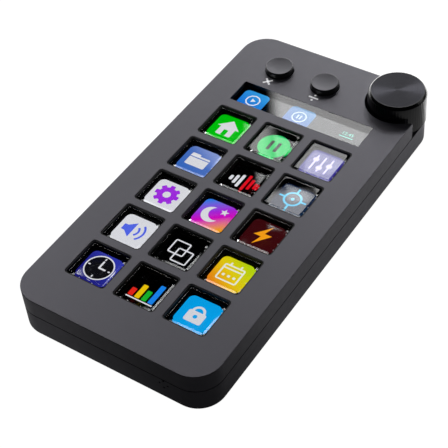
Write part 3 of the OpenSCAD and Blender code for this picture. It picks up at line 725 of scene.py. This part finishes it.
    def join(self, name, slot):
        """Makes the shapes one piece that rides on the root body."""
        deselect()
        for part in self.parts:
            part.select_set(True)
        piece = self.parts[0]
        bpy.context.view_layer.objects.active = piece
        bpy.ops.object.join()
        piece.name = name
        piece.data.name = name
        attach(piece, "root")
        return piece


def house(d):
    white, green = d.ink(WHITE), d.ink(plain("00c80a"))
    d.tile(green)
    d.outline([(-4.6, 0.2), (0, 4.4), (4.6, 0.2)], white)
    d.bar(0, -1.9, 6.2, 4.6, white, corner=0.5)
    d.bar(0, -2.6, 1.9, 3.2, green, 2, corner=0.3)


def pause(d):
    emerald, dark = d.ink(plain("06d668")), d.ink(plain("0b2316"))
    d.disc(0, 0, 6.1, emerald, 0)
    for side in (-1, 1):
        d.bar(side * 1.5, 0, 1.3, 5.2, dark, corner=0.4)


def sliders(d):
    lilac = d.ink(plain("cfc6ff"))
    d.tile(d.ink(plain("3a3290")))
    for x, knob in ((-3, 1.6), (0, -1.9), (3, 0.4)):
        d.bar(x, 0, 0.7, 8, lilac, corner=0.3)
        d.disc(x, knob, 1.15, lilac, 2, corners=32)


def folder(d):
    white = d.ink(WHITE)
    d.tile(d.ink([(0.0, srgb("3a6cc4")), (0.55, srgb("4a72c6")), (1.0, srgb("8a9edc"))], turn=-60))
    d.bar(-2.2, 2.3, 3.6, 1.6, white, corner=0.4)
    d.bar(0, -0.5, 8.2, 5.4, white, corner=0.5)
    d.bar(0, 1.1, 8.2, 0.4, d.ink(plain("4a72c6")), 2)


def level_meter(d):
    white, red = d.ink(WHITE), d.ink(plain("e01020"))
    for x, height, ink in ((-4.8, 2.4, white), (-2.9, 4.4, white), (-1.0, 6.6, white),
                           (1.4, 8.2, red), (3.3, 5.4, red), (5.2, 3.0, red)):
        d.bar(x, -1.2, 1.2, height, ink, corner=0.45)


def crosshair(d):
    cyan = d.ink(plain("2fc4f2"))
    d.tile(d.ink(plain("10203e")))
    d.disc(0, 0, 3.5, cyan, border=0.8)
    for turn in (0, 90, 180, 270):
        reach = math.radians(turn)
        d.bar(4.1 * math.cos(reach), 4.1 * math.sin(reach), 2.6, 0.8, cyan, 2, turn=turn)
    d.disc(0, 0, 0.7, cyan, corners=24)


def gear(d):
    purple, white = d.ink(plain("a52ce6")), d.ink(WHITE)
    d.tile(white)
    for tooth in range(4):
        d.bar(0, 0, 1.9, 9.6, purple, corner=0.4, turn=45 * tooth)
    d.disc(0, 0, 3.7, purple, 2)
    d.disc(0, 0, 1.5, white, 3, corners=32)


def night(d):
    stops = [(0.0, srgb("2f7dea")), (0.4, srgb("a828e0")), (0.62, srgb("d808c0")), (1.0, srgb("f8a010"))]
    blend, white = d.ink(stops, turn=52, span=15.0), d.ink(WHITE)
    d.tile(blend)
    d.disc(-0.9, -0.3, 3.7, white)
    d.disc(0.9, 0.7, 3.1, blend, 2)
    d.star(2.9, 2.6, 1.7, white, 3)


def lightning(d):
    orange = d.ink(plain("ffa418"))
    d.tile(d.ink(plain("3c0a0e")))
    d.outline([(1.6, 5.0), (-3.2, -0.6), (-0.3, -0.6), (-1.6, -5.0), (3.2, 1.0), (0.3, 1.0)], orange)


def loudspeaker(d):
    indigo = d.ink(plain("5268ee"))
    d.tile(d.ink(WHITE))
    d.bar(-3.4, 0, 2.4, 2.8, indigo, corner=0.3)
    d.outline([(-3.4, 1.2), (-0.4, 3.6), (-0.4, -3.6), (-3.4, -1.2)], indigo, 2)
    d.arc(-0.6, 0, 2.9, 0.8, -48, 48, indigo)
    d.arc(-0.6, 0, 5.0, 0.8, -48, 48, indigo)


def overlapped_squares(d):
    white = d.ink(WHITE)
    d.bar(-1.5, 1.1, 6.4, 6.4, white, corner=0.7, border=0.55)
    d.bar(1.5, -1.9, 6.4, 6.4, white, 2, corner=0.7, border=0.55)


def calendar(d):
    white = d.ink(plain("f0f0dc"))
    d.tile(d.ink([(0.0, srgb("f08a18")), (0.5, srgb("ecd010")), (1.0, srgb("bcdc10"))], turn=-55, span=14.0))
    d.bar(0, -0.3, 8.2, 7.4, white, corner=0.8, border=0.6)
    d.bar(0, 1.6, 7.6, 0.6, white, 2)
    for x in (-2, 2):
        d.bar(x, 3.6, 0.7, 1.7, white, 2, corner=0.3)
    for x in (-2.1, 0, 2.1):
        d.bar(x, -1.4, 1.0, 1.0, white, 2, corner=0.2)


def clock(d):
    white = d.ink(WHITE)
    d.tile(d.ink([(0.0, srgb("1c1a78")), (1.0, srgb("3038b0"))], turn=-60))
    d.disc(0, 0, 5.3, d.ink(plain("101014")))
    d.disc(0, 0, 5.5, white, 2, border=0.5)
    d.bar(0, 1.5, 0.7, 3.6, white, 2, corner=0.3)
    d.bar(1.2, 0, 3.0, 0.7, white, 2, corner=0.3)
    for turn in (0, 90, 180, 270):
        reach = math.radians(turn)
        d.bar(4.1 * math.cos(reach), 4.1 * math.sin(reach), 0.9, 0.5, white, 2, turn=turn)


def bar_chart(d):
    for x, height, code in ((-4.1, 3.4, "e8261a"), (-1.4, 6.2, "f2c90c"), (1.3, 4.6, "16b82e"),
                            (4.0, 8.6, "1a86f0")):
        d.bar(x, height / 2 - 4.4, 1.9, height, d.ink(plain(code)), corner=0.35)
    d.bar(0, -5.0, 10.6, 0.5, d.ink(WHITE), corner=0.2)


def padlock(d):
    paper = d.ink(plain("dcdde4"))
    d.tile(d.ink(plain("06a4ee")))
    d.bar(0, -1.6, 6.6, 4.8, paper, corner=0.8)
    d.arc(0, 0.7, 2.5, 0.9, 0, 180, paper)
    d.disc(0, -1.4, 0.8, d.ink(plain("06a4ee")), 2, corners=24)


PICTURES = {(1, 1): house, (1, 2): pause, (1, 3): sliders, (2, 1): folder, (2, 2): level_meter,
            (2, 3): crosshair, (3, 1): gear, (3, 2): night, (3, 3): lightning, (4, 1): loudspeaker,
            (4, 2): overlapped_squares, (4, 3): calendar, (5, 1): clock, (5, 2): bar_chart, (5, 3): padlock}


# ---- operators ----

class KEYPAD_OT_finish_nodes(bpy.types.Operator):
    """Gives every carried-over piece the finish of its material slot"""
    bl_idname = "keypad.finish_nodes"
    bl_label = "Finish the case and inner pieces"

    def execute(self, context):
        for part in frame["record"]["subparts"]:
            node = frame["nodes"][part["node"]]
            for place in node.material_slots:
                place.material = finish_of(part["material_slot"])
        return {"FINISHED"}


class KEYPAD_OT_key_caps(bpy.types.Operator):
    """Models one dished clear cap with its flange, its sides coated black as painted shade and pale nubs as
    painted glints, and copies it to every key
    """
    bl_idname = "keypad.key_caps"
    bl_label = "Key caps"

    def execute(self, context):
        sizes = context.scene.keypad_sizes
        low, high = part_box(KEYS[1, 1])
        centre = (low + high) / 2
        width, depth = high.x - low.x - 2 * sizes.cap_flange, high.y - low.y - 2 * sizes.cap_flange
        step = low.z + sizes.flange_height
        plate(centre, width, depth, high.z, parts=16)
        pick("verts", lambda v: (v.co - Vector((centre.x, centre.y, high.z))).length < NEAR)
        bpy.ops.transform.translate(value=(0, 0, -sizes.cap_dish), use_proportional_edit=True,
                                    proportional_edit_falloff="INVERSE_SQUARE",
                                    proportional_size=sizes.cap_bowl)
        flanged_walls(centre, width, depth, high.z, step, low.z, sizes.cap_flange)
        self.round_corners(centre, width, depth, step + sizes.flange_height / 2, high.z, sizes.cap_corner)
        self.round_corners(centre, high.x - low.x, high.y - low.y, low.z - MM, step, sizes.flange_corner)
        self.bevel_face(high.z, sizes)
        cap = settle("cap_r1_c1", finish_of("clear_cap"), 12)
        coat_foot(cap, low.z)
        # Painted shade: the cap's sides and flange are coated black, so that the well round it shows dark
        paint_shade_black(cap, high.z - sizes.cap_fall - NEAR)
        cap = self.with_nubs(cap, centre, width, depth, high.z, sizes)
        for node, twin in to_every_key(cap, "cap").items():
            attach(twin, node)
            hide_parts(node)
        return {"FINISHED"}

    def round_corners(self, centre, width, depth, bottom, top, radius):
        """Bevels the four upright corner edges of a block."""
        def upright_corner(edge):
            across = middle(edge) - centre
            rise = abs(edge.verts[0].co.z - edge.verts[1].co.z)
            return (rise > 0.1 * MM and bottom < middle(edge).z < top and
                    abs(abs(across.x) - width / 2) < NEAR and abs(abs(across.y) - depth / 2) < NEAR)
        pick("edges", upright_corner)
        bpy.ops.mesh.bevel(offset=radius, segments=5, clamp_overlap=False)

    def bevel_face(self, top, sizes):
        """Bevels the edge of the dished face, lays the bevel flatter and rounds its inner edge."""
        pick("edges", lambda e: min(v.co.z for v in e.verts) > top - sizes.cap_dish and
             any(abs(face.normal.z) < 0.5 for face in e.link_faces))
        bpy.ops.mesh.bevel(offset=sizes.cap_bevel, segments=1, clamp_overlap=False)
        deepest = 0.12 * MM
        pick("verts", lambda v: -2 * NEAR < top - sizes.cap_bevel - v.co.z < deepest)
        bpy.ops.transform.translate(value=(0, 0, sizes.cap_bevel - sizes.cap_fall))
        face_outwards()
        level, slope = 0.97, (0.4, 0.95)
        pick("edges", lambda e: len(e.link_faces) == 2 and
             max(face.normal.z for face in e.link_faces) > level and
             slope[0] < min(face.normal.z for face in e.link_faces) < slope[1])
        bpy.ops.mesh.bevel(offset=sizes.cap_edge, segments=3, clamp_overlap=False)
        face_outwards()

    def with_nubs(self, cap, centre, width, depth, face_height, sizes):
        """Joins three small pale nubs to the near and the right side of a cap, on its bevel: painted glints,
        on only the two sides where the glints fall.
        """
        whitened = painted_glint_finish("frosted_nub")
        proud, sunk, tall, taper = 0.1 * MM, 0.36 * MM, 0.5 * MM, 0.8
        squeeze = (proud + sunk) / sizes.cap_nub
        top = face_height - 0.12 * MM
        pieces = [cap]
        for share in (-0.33, -0.14, 0.2):
            for turn, reach, along, across in ((0, depth, width, (1, squeeze, 1)),
                                               (1, width, depth, (squeeze, 1, 1))):
                angle = turn * math.pi / 2
                out = reach / 2 + (proud - sunk) / 2
                x = centre.x + share * along * math.cos(angle) + out * math.sin(angle)
                y = centre.y + share * along * math.sin(angle) - out * math.cos(angle)
                deselect()
                bpy.ops.mesh.primitive_cylinder_add(vertices=12, radius=sizes.cap_nub / 2, depth=tall,
                                                    location=(x, y, top - tall / 2))
                bpy.ops.object.mode_set(mode="EDIT")
                pick("verts", lambda v: v.co.z > 0)
                bpy.ops.transform.resize(value=(taper, taper, 1), center_override=(x, y, top))
                bpy.ops.mesh.select_all(action="SELECT")
                bpy.ops.transform.resize(value=across, center_override=(x, y, top))
                pieces.append(settle("nub", whitened, 60))
        deselect()
        for piece in pieces:
            piece.select_set(True)
        bpy.context.view_layer.objects.active = cap
        bpy.ops.object.join()
        return cap


class KEYPAD_OT_pictures(bpy.types.Operator):
    """Draws the picture under every key"""
    bl_idname = "keypad.pictures"
    bl_label = "Pictures under the keys"

    def execute(self, context):
        for (row, column), draw in PICTURES.items():
            centre = centre_of(KEYS[row, column])
            drawing = Drawing(centre.x, centre.y)
            draw(drawing)
            drawing.join(f"picture_r{row}_c{column}", "display_glass")
        return {"FINISHED"}


class KEYPAD_OT_strip(bpy.types.Operator):
    """Draws the two tiles and the clock of the information strip"""
    bl_idname = "keypad.strip"
    bl_label = "Information strip"

    def execute(self, context):
        centre = centre_of("strip_window")
        for side, x, y, front, back, sign in (("left", -20.5, -0.7, "1470e0", "38a8f0", "f4fbff"),
                                              ("middle", -0.4, -0.2, "1058b1", "2c85be", "c8dcec")):
            d = Drawing(centre.x + x * MM, centre.y + y * MM)
            white = d.ink(plain(sign))
            blue = d.ink([(0.0, srgb(front)), (1.0, srgb(back))], turn=-75, span=11.0)
            d.bar(0, 0, 10.8, 9.4, blue, 0, corner=2.0)
            d.disc(0, -0.1, 3.0, white, corners=10, border=0.5)
            if side == "left":
                d.disc(0, -0.1, 1.2, white, corners=3, turn=-90)
            else:
                for x_bar in (-0.6, 0.6):
                    d.bar(x_bar, -0.1, 0.6, 2.2, white)
            d.join(f"strip_tile_{side}", "display_glass")
        d = Drawing(centre.x + 20.2 * MM, centre.y)
        teal = d.ink(plain("5fe4cc"))
        d.digits(-2.5, -0.6, 2.2, "12:45", teal)
        d.bar(0, -1.6, 5.6, 0.35, teal)
        d.join("strip_clock", "display_glass")
        return {"FINISHED"}


class KEYPAD_OT_spring_mat(bpy.types.Operator):
    """Models the silicone mat as one cell under each key, with a soft frame under the cap's edge"""
    bl_idname = "keypad.spring_mat"
    bl_label = "Spring mat"

    def execute(self, context):
        sizes = context.scene.keypad_sizes
        low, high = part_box("spring_mat")
        key_low, key_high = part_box(KEYS[1, 1])
        centre = (key_low + key_high) / 2
        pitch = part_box(KEYS[1, 2])[0].x - key_low.x
        width, depth = (side - 2 * sizes.mat_edge for side in (key_high - key_low).xy)
        step = low.z + sizes.mat_sheet
        plate(centre, pitch, pitch, low.z)
        bpy.ops.mesh.select_all(action="SELECT")
        bpy.ops.mesh.inset(thickness=(pitch - width) / 2)
        bpy.ops.transform.resize(value=(1, depth / width, 1), center_override=(centre.x, centre.y, low.z))
        bpy.ops.mesh.inset(thickness=sizes.mat_wall)
        bpy.ops.mesh.delete(type="FACE")
        bpy.ops.mesh.select_all(action="SELECT")
        extrude(z=sizes.mat_sheet)
        pick("faces", lambda f: min(v.co.z for v in f.verts) > step - NEAR and
             max(abs(v.co.x - centre.x) for v in f.verts) < width / 2 + NEAR)
        extrude(z=high.z - step)
        face_outwards()
        cell = settle("mat_cell_r1_c1", finish_of("silicone"), 30)
        cells = to_every_key(cell, "mat_cell")
        for node, twin in cells.items():
            spot = centre_of(node)
            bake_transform(twin)
            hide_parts("spring_mat")
        half = pitch / 2
        for (row, column), node in KEYS.items():
            spot = centre_of(node)
            for outermost, axis, place, goal in ((column == COLUMNS[0], 0, spot.x - half, low.x),
                                                 (column == COLUMNS[-1], 0, spot.x + half, high.x),
                                                 (row == ROWS[0], 1, spot.y + half, high.y),
                                                 (row == ROWS[-1], 1, spot.y - half, low.y)):
                if outermost:
                    draw_out(cells[node], axis, place, goal)
        return {"FINISHED"}


class KEYPAD_OT_window(bpy.types.Operator):
    """Models the clear window over the strip, with a polished edge, and sides coated black as painted shade
    """
    bl_idname = "keypad.window"
    bl_label = "Strip window"

    def execute(self, context):
        sizes = context.scene.keypad_sizes
        low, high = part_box("strip_window")
        centre = (low + high) / 2
        reach = sizes.window_flange
        width, depth = high.x - low.x - 2 * reach, high.y - low.y - 2 * reach
        plate(centre, width, depth, high.z)
        flanged_walls(centre, width, depth, high.z, COVER_UNDER, low.z, reach)
        pick("edges", lambda e: min(v.co.z for v in e.verts) > high.z - NEAR)
        bpy.ops.mesh.bevel(offset=sizes.window_edge, segments=1, clamp_overlap=False)
        face_outwards()
        window = settle("window_plate", finish_of("clear_window"), 20)
        coat_foot(window, low.z)
        # Painted shade: the window's sides and flange are coated black, so that its edge shows dark against
        # the frame
        paint_shade_black(window, high.z)
        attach(window, "root")
        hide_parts("strip_window")
        return {"FINISHED"}


class KEYPAD_OT_round_buttons(bpy.types.Operator):
    """Turns one dished button with a soft rim and copies it"""
    bl_idname = "keypad.round_buttons"
    bl_label = "Round buttons"

    def execute(self, context):
        sizes = context.scene.keypad_sizes
        low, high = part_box("left_button")
        x, y = (low.x + high.x) / 2, (low.y + high.y) / 2
        stem, flange, waist = 2.0 * MM, (high.x - low.x) / 2, sizes.button_waist
        flange_low = COVER_UNDER - sizes.button_flange
        # Points of the half section, each (radius, height), from the stem's foot to the middle of the dish
        foot = [(stem, low.z), (stem, flange_low), (flange, flange_low), (flange, COVER_UNDER),
                (sizes.button_foot, COVER_UNDER), (sizes.button_foot, COVER_TOP)]
        rim = [(waist, high.z - 0.42 * MM), (waist - 0.04 * MM, high.z - 0.22 * MM),
               (waist - 0.13 * MM, high.z - 0.08 * MM), (sizes.button_face + 0.06 * MM, high.z)]
        dish = [(share * sizes.button_face, high.z - sizes.button_dish * (1 - share * share))
                for share in (0.985, 0.9, 0.75, 0.6, 0.45, 0.3, 0.15, 0.05)]
        turned(x, y, [*foot, *rim, *dish], 96)
        button = settle("button_left", finish_of("button_plastic"), 40)
        coat(button, gloss("button_side", (0.016, 0.016, 0.018), 0.2, specular=0.8),
             lambda face: face.center.z < COVER_UNDER or
             math.hypot(face.center.x - x, face.center.y - y) > sizes.button_face)
        other = copy_to(button, "button_right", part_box("right_button")[0] - low)
        for piece, node in ((button, "left_button"), (other, "right_button")):
            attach(piece, node)
            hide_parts(node)
        return {"FINISHED"}


class KEYPAD_OT_knob(bpy.types.Operator):
    """Turns the hollow knob with its bevel and presses fine ribs into its side"""
    bl_idname = "keypad.knob"
    bl_label = "Knob"

    def execute(self, context):
        sizes = context.scene.keypad_sizes
        low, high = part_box("knob_cap")
        disc_low, disc_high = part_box("knob_face")
        shaft_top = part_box("encoder_shaft")[1].z
        x, y = (low.x + high.x) / 2, (low.y + high.y) / 2
        outer = (high.x - low.x) / 2
        steps = 4 * sizes.ribs
        shoulder = high.z - sizes.knob_bevel
        inner = outer - sizes.knob_wall
        bore, hub, hub_low = 3.02 * MM, 4.6 * MM, 14.6 * MM
        roof = high.z - 3.2 * MM
        recess = (disc_high.x - disc_low.x) / 2 + 0.02 * MM
        rib_low = low.z + 0.5 * MM
        edge = 0.1 * MM
        # Points of the half section, each (radius, height), from the bore round to the seat of the face
        hollow = [(bore, shaft_top), (bore, hub_low), (hub, hub_low), (hub, roof), (inner, roof),
                  (inner, low.z)]
        side = [(outer - 0.3 * MM, low.z), (outer, low.z + 0.25 * MM), (outer, rib_low),
                (outer, rib_low + edge), (outer, shoulder - edge), (outer - 0.12 * MM, shoulder + 0.12 * MM)]
        face = [(sizes.knob_edge + 0.14 * MM, high.z - 0.1 * MM), (sizes.knob_edge, high.z),
                (recess + 0.03 * MM, high.z), (recess, high.z - 0.03 * MM), (recess, disc_low.z)]
        turned(x, y, [*hollow, *side, *face], steps)

        def place_in_rib(vertex):
            """0 to 3: where a point of the side stands between two ribs."""
            turn = math.atan2(vertex.co.y - y, vertex.co.x - x) / math.tau
            return round(turn * steps) % 4

        for place, share in ((1, 0.5), (2, 1.0), (3, 0.5)):
            pick("verts", lambda v, place=place: rib_low + edge / 2 < v.co.z < shoulder + 2 * edge and
                 math.hypot(v.co.x - x, v.co.y - y) > sizes.knob_edge and place_in_rib(v) == place)
            smaller = 1 - share * sizes.rib_depth / outer
            bpy.ops.transform.resize(value=(smaller, smaller, 1), center_override=(x, y, rib_low))
        knob = settle("knob_shell", finish_of("knob_gloss"), 30)
        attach(knob, "knob")
        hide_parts("knob_cap")
        return {"FINISHED"}


class KEYPAD_OT_signs(bpy.types.Operator):
    """Prints the times and division signs in front of the round buttons, with a painted glow that brightens
    the print
    """
    bl_idname = "keypad.signs"
    bl_label = "Signs on the cover"

    def execute(self, context):
        sizes = context.scene.keypad_sizes
        # Painted light: the print glows a little, though it is no lamp, so that it shows brighter
        ink = moulded("sign_print", context.scene.keypad_colours.mark, 0.5, glow=0.3)
        stroke, span, rounding = sizes.mark_stroke / MM, sizes.mark_span / MM, 0.08
        dot, dot_place = 0.45, 1.42
        for name, node, x, y in (("sign_times", "left_button", -0.45, -7.95),
                                 ("sign_divide", "right_button", -0.45, -7.8)):
            centre = centre_of(node)
            d = Drawing(centre.x + x * MM, centre.y + y * MM)
            for turn in (45, -45) if name == "sign_times" else (0,):
                d.bar(0, 0, span, stroke, ink, 0, corner=rounding, turn=turn)
            if name == "sign_divide":
                for y_dot in (-dot_place, dot_place):
                    d.disc(0, y_dot, dot, ink, 0, corners=24)
            piece = d.join(name, "button_plastic")
            piece.data.transform(Matrix.Translation((0, 0, COVER_TOP - DISPLAY_TOP)))
        return {"FINISHED"}


def soft_light(name, azimuth, wide, low, high, strength, soft, upright=True):
    """Glowing panel whose edges fade. Its place and size are angles in degrees, seen from the keypad."""
    turn, rise = math.radians(azimuth), math.radians((low + high) / 2)
    across = 2 * LIGHT_DISTANCE * math.tan(math.radians(wide) / 2)
    if upright:
        foot, head = (LIGHT_DISTANCE * math.tan(math.radians(angle)) for angle in (low, high))
        outward = Vector((math.cos(turn), math.sin(turn), 0))
        centre = outward * LIGHT_DISTANCE + UPWARDS * (foot + head) / 2
        tall = head - foot
    else:
        outward = Vector((math.cos(turn) * math.cos(rise), math.sin(turn) * math.cos(rise), math.sin(rise)))
        centre = outward * LIGHT_DISTANCE
        tall = 2 * LIGHT_DISTANCE * math.tan(math.radians(high - low) / 2)
    deselect()
    bpy.ops.mesh.primitive_plane_add(size=1, location=centre + UPWARDS * COVER_TOP)
    panel = bpy.context.object
    panel.name = name
    panel.scale = (across, tall, 1)
    panel.rotation_mode = "QUATERNION"
    panel.rotation_quaternion = (-outward).to_track_quat("-Z", "Y")
    panel.data.materials.append(fading_glow(name + "_glow", strength, soft))
    panel.visible_camera = False
    panel.visible_shadow = False


def fading_glow(name, strength, soft):
    """Light of a square panel that fades over a share of its width towards each edge."""
    glow = Finish(name, specular=0.0)
    link = glow.material.node_tree.links.new
    split = glow.add("ShaderNodeSeparateXYZ", Vector=glow.place)
    power = None
    for axis in ("X", "Y"):
        size = glow.add("ShaderNodeMath")
        size.operation = "ABSOLUTE"
        link(split.outputs[axis], size.inputs[0])
        fade = glow.add("ShaderNodeMapRange", Value=size.outputs[0], From_Min=0.5 * (1 - soft), From_Max=0.5,
                        To_Min=1.0, To_Max=0.0)
        fade.interpolation_type = "SMOOTHSTEP"
        times = glow.add("ShaderNodeMath")
        times.operation = "MULTIPLY"
        times.inputs[0].default_value = strength
        if power:
            link(power, times.inputs[0])
        link(fade.outputs["Result"], times.inputs[1])
        power = times.outputs[0]
    glow.set(Base_Color=(0, 0, 0, 1), Emission_Color=(1, 1, 1, 1), Emission_Strength=power)
    return glow.material


class KEYPAD_OT_stage(bpy.types.Operator):
    """Sets the pale floor, the soft lights and the camera"""
    bl_idname = "keypad.stage"
    bl_label = "Studio and camera"

    def execute(self, context):
        stage = context.scene.keypad_stage
        context.scene.view_settings.view_transform = "Standard"
        self.camera(context, stage)
        self.floor(stage)
        self.lights(stage)
        self.surroundings(context, stage)
        return {"FINISHED"}

    def camera(self, context, stage):
        """Looks at the target from its azimuth and elevation, turned about its own line of sight."""
        turn, rise, roll = stage.azimuth, stage.elevation, stage.roll
        back = Vector((math.sin(turn) * math.cos(rise), -math.cos(turn) * math.cos(rise), math.sin(rise)))
        right = (-back).cross(UPWARDS).normalized()
        up = right.cross(-back)
        across = right * math.cos(roll) + up * math.sin(roll)
        above = up * math.cos(roll) - right * math.sin(roll)
        deselect()
        bpy.ops.object.camera_add(location=Vector(stage.target) + back * stage.distance)
        camera = context.object
        camera.rotation_mode = "QUATERNION"
        camera.rotation_quaternion = Matrix((across, above, back)).transposed().to_quaternion()
        camera.data.lens = stage.lens
        camera.data.sensor_width = 36
        camera.data.clip_start = 0.01
        context.scene.camera = camera

    def floor(self, stage):
        """Pale light table; it throws little light in front, and most from behind, across a slanted line."""
        deselect()
        bpy.ops.mesh.primitive_plane_add(size=6, location=(0, 0, -0.02 * MM))
        floor = bpy.context.object
        floor.name = "floor"
        slant, front, back = math.radians(-30), -90 * MM, 65 * MM
        paper = Finish("pale_floor", roughness=0.9, specular=0.1)
        paper.blotch((0.1, 0.1, 0.1), 0.01, 300 * MM)
        across = paper.add("ShaderNodeMapping", Vector=paper.place, Rotation=(0, 0, slant)).outputs["Vector"]
        along = paper.add("ShaderNodeSeparateXYZ", Vector=across).outputs["Y"]
        stops = [(0.04, stage.floor_front), (0.26, stage.floor_left), (0.85, stage.floor_right),
                 (0.89, 1.5 * stage.floor_right), (0.97, stage.floor_back)]
        shares = [(place, [glow / stage.floor_back] * 3) for place, glow in stops]
        share = paper.ramp(paper.between(along, 0.0, 1.0, front, back), shares)
        thrown = paper.between(share, 0.0, stage.floor_back)
        seen = paper.add("ShaderNodeLightPath").outputs["Is Camera Ray"]
        paper.set(Emission_Color=(1, 1, 1, 1), Emission_Strength=paper.between(seen, thrown, stage.floor))
        floor.data.materials.append(paper.material)

    def lights(self, stage):
        """Soft panels round the keypad; every place and size is in degrees."""
        soft_light("window_light", azimuth=116.3, wide=14.2, low=22, high=46.5, strength=stage.window,
                   soft=0.16)
        soft_light("fan_light", azimuth=103, wide=7, low=30, high=42, strength=stage.fan, soft=0.3)
        soft_light("rim_light", azimuth=173, wide=8, low=0.5, high=9, strength=stage.rim, soft=0.4)
        soft_light("backdrop_light", azimuth=128, wide=84, low=4, high=30, strength=stage.backdrop, soft=0.25)
        soft_light("left_light", azimuth=152.6, wide=26, low=34, high=52, strength=stage.left, soft=0.08)
        soft_light("key_light", azimuth=115, wide=14, low=65, high=79, strength=stage.key, soft=0.3,
                   upright=False)
        soft_light("edge_light", azimuth=38, wide=30, low=14, high=34, strength=stage.edge, soft=0.4)

    def surroundings(self, context, stage):
        """White to the camera, an even fill on matt surfaces, and dark to reflections."""
        world = bpy.data.worlds.new("studio")
        context.scene.world = world
        world.use_nodes = True
        nodes, links = world.node_tree.nodes, world.node_tree.links
        sky = nodes["Background"]
        sky.inputs["Color"].default_value = (1, 1, 1, 1)
        path = nodes.new("ShaderNodeLightPath")
        even = nodes.new("ShaderNodeMath")
        even.operation = "MULTIPLY_ADD"
        links.new(path.outputs["Is Diffuse Ray"], even.inputs[0])
        even.inputs[1].default_value = stage.fill
        links.new(path.outputs["Is Camera Ray"], even.inputs[2])
        links.new(even.outputs[0], sky.inputs["Strength"])


class KEYPAD_PT_panel(bpy.types.Panel):
    """Lists the steps and settings of the keypad"""
    bl_label = "Macro keypad"
    bl_idname = "KEYPAD_PT_panel"
    bl_space_type = "VIEW_3D"
    bl_region_type = "UI"
    bl_category = "Keypad"

    def draw(self, context):
        for operator in OPERATORS:
            self.layout.operator(operator.bl_idname)
        for group in (context.scene.keypad_sizes, context.scene.keypad_colours, context.scene.keypad_stage):
            box = self.layout.box()
            for name in group.__annotations__:
                box.prop(group, name)


OPERATORS = (KEYPAD_OT_finish_nodes, KEYPAD_OT_key_caps, KEYPAD_OT_pictures, KEYPAD_OT_strip,
             KEYPAD_OT_spring_mat, KEYPAD_OT_window, KEYPAD_OT_round_buttons, KEYPAD_OT_knob,
             KEYPAD_OT_signs, KEYPAD_OT_stage)
CLASSES = (KeypadSizes, KeypadColours, KeypadStage, *OPERATORS, KEYPAD_PT_panel)


def register():
    """Registers the classes and puts the settings on the scene."""
    for item in CLASSES:
        bpy.utils.register_class(item)
    bpy.types.Scene.keypad_sizes = PointerProperty(type=KeypadSizes)
    bpy.types.Scene.keypad_colours = PointerProperty(type=KeypadColours)
    bpy.types.Scene.keypad_stage = PointerProperty(type=KeypadStage)


def unregister():
    """Takes the settings and the classes out again."""
    del bpy.types.Scene.keypad_stage
    del bpy.types.Scene.keypad_colours
    del bpy.types.Scene.keypad_sizes
    for item in reversed(CLASSES):
        bpy.utils.unregister_class(item)


def main():
    """Makes every piece and the stage in order."""
    register()
    bpy.ops.keypad.finish_nodes()
    bpy.ops.keypad.key_caps()
    bpy.ops.keypad.pictures()
    bpy.ops.keypad.strip()
    bpy.ops.keypad.spring_mat()
    bpy.ops.keypad.window()
    bpy.ops.keypad.round_buttons()
    bpy.ops.keypad.knob()
    bpy.ops.keypad.signs()
    bpy.ops.keypad.stage()


if __name__ == "__main__":
    main()
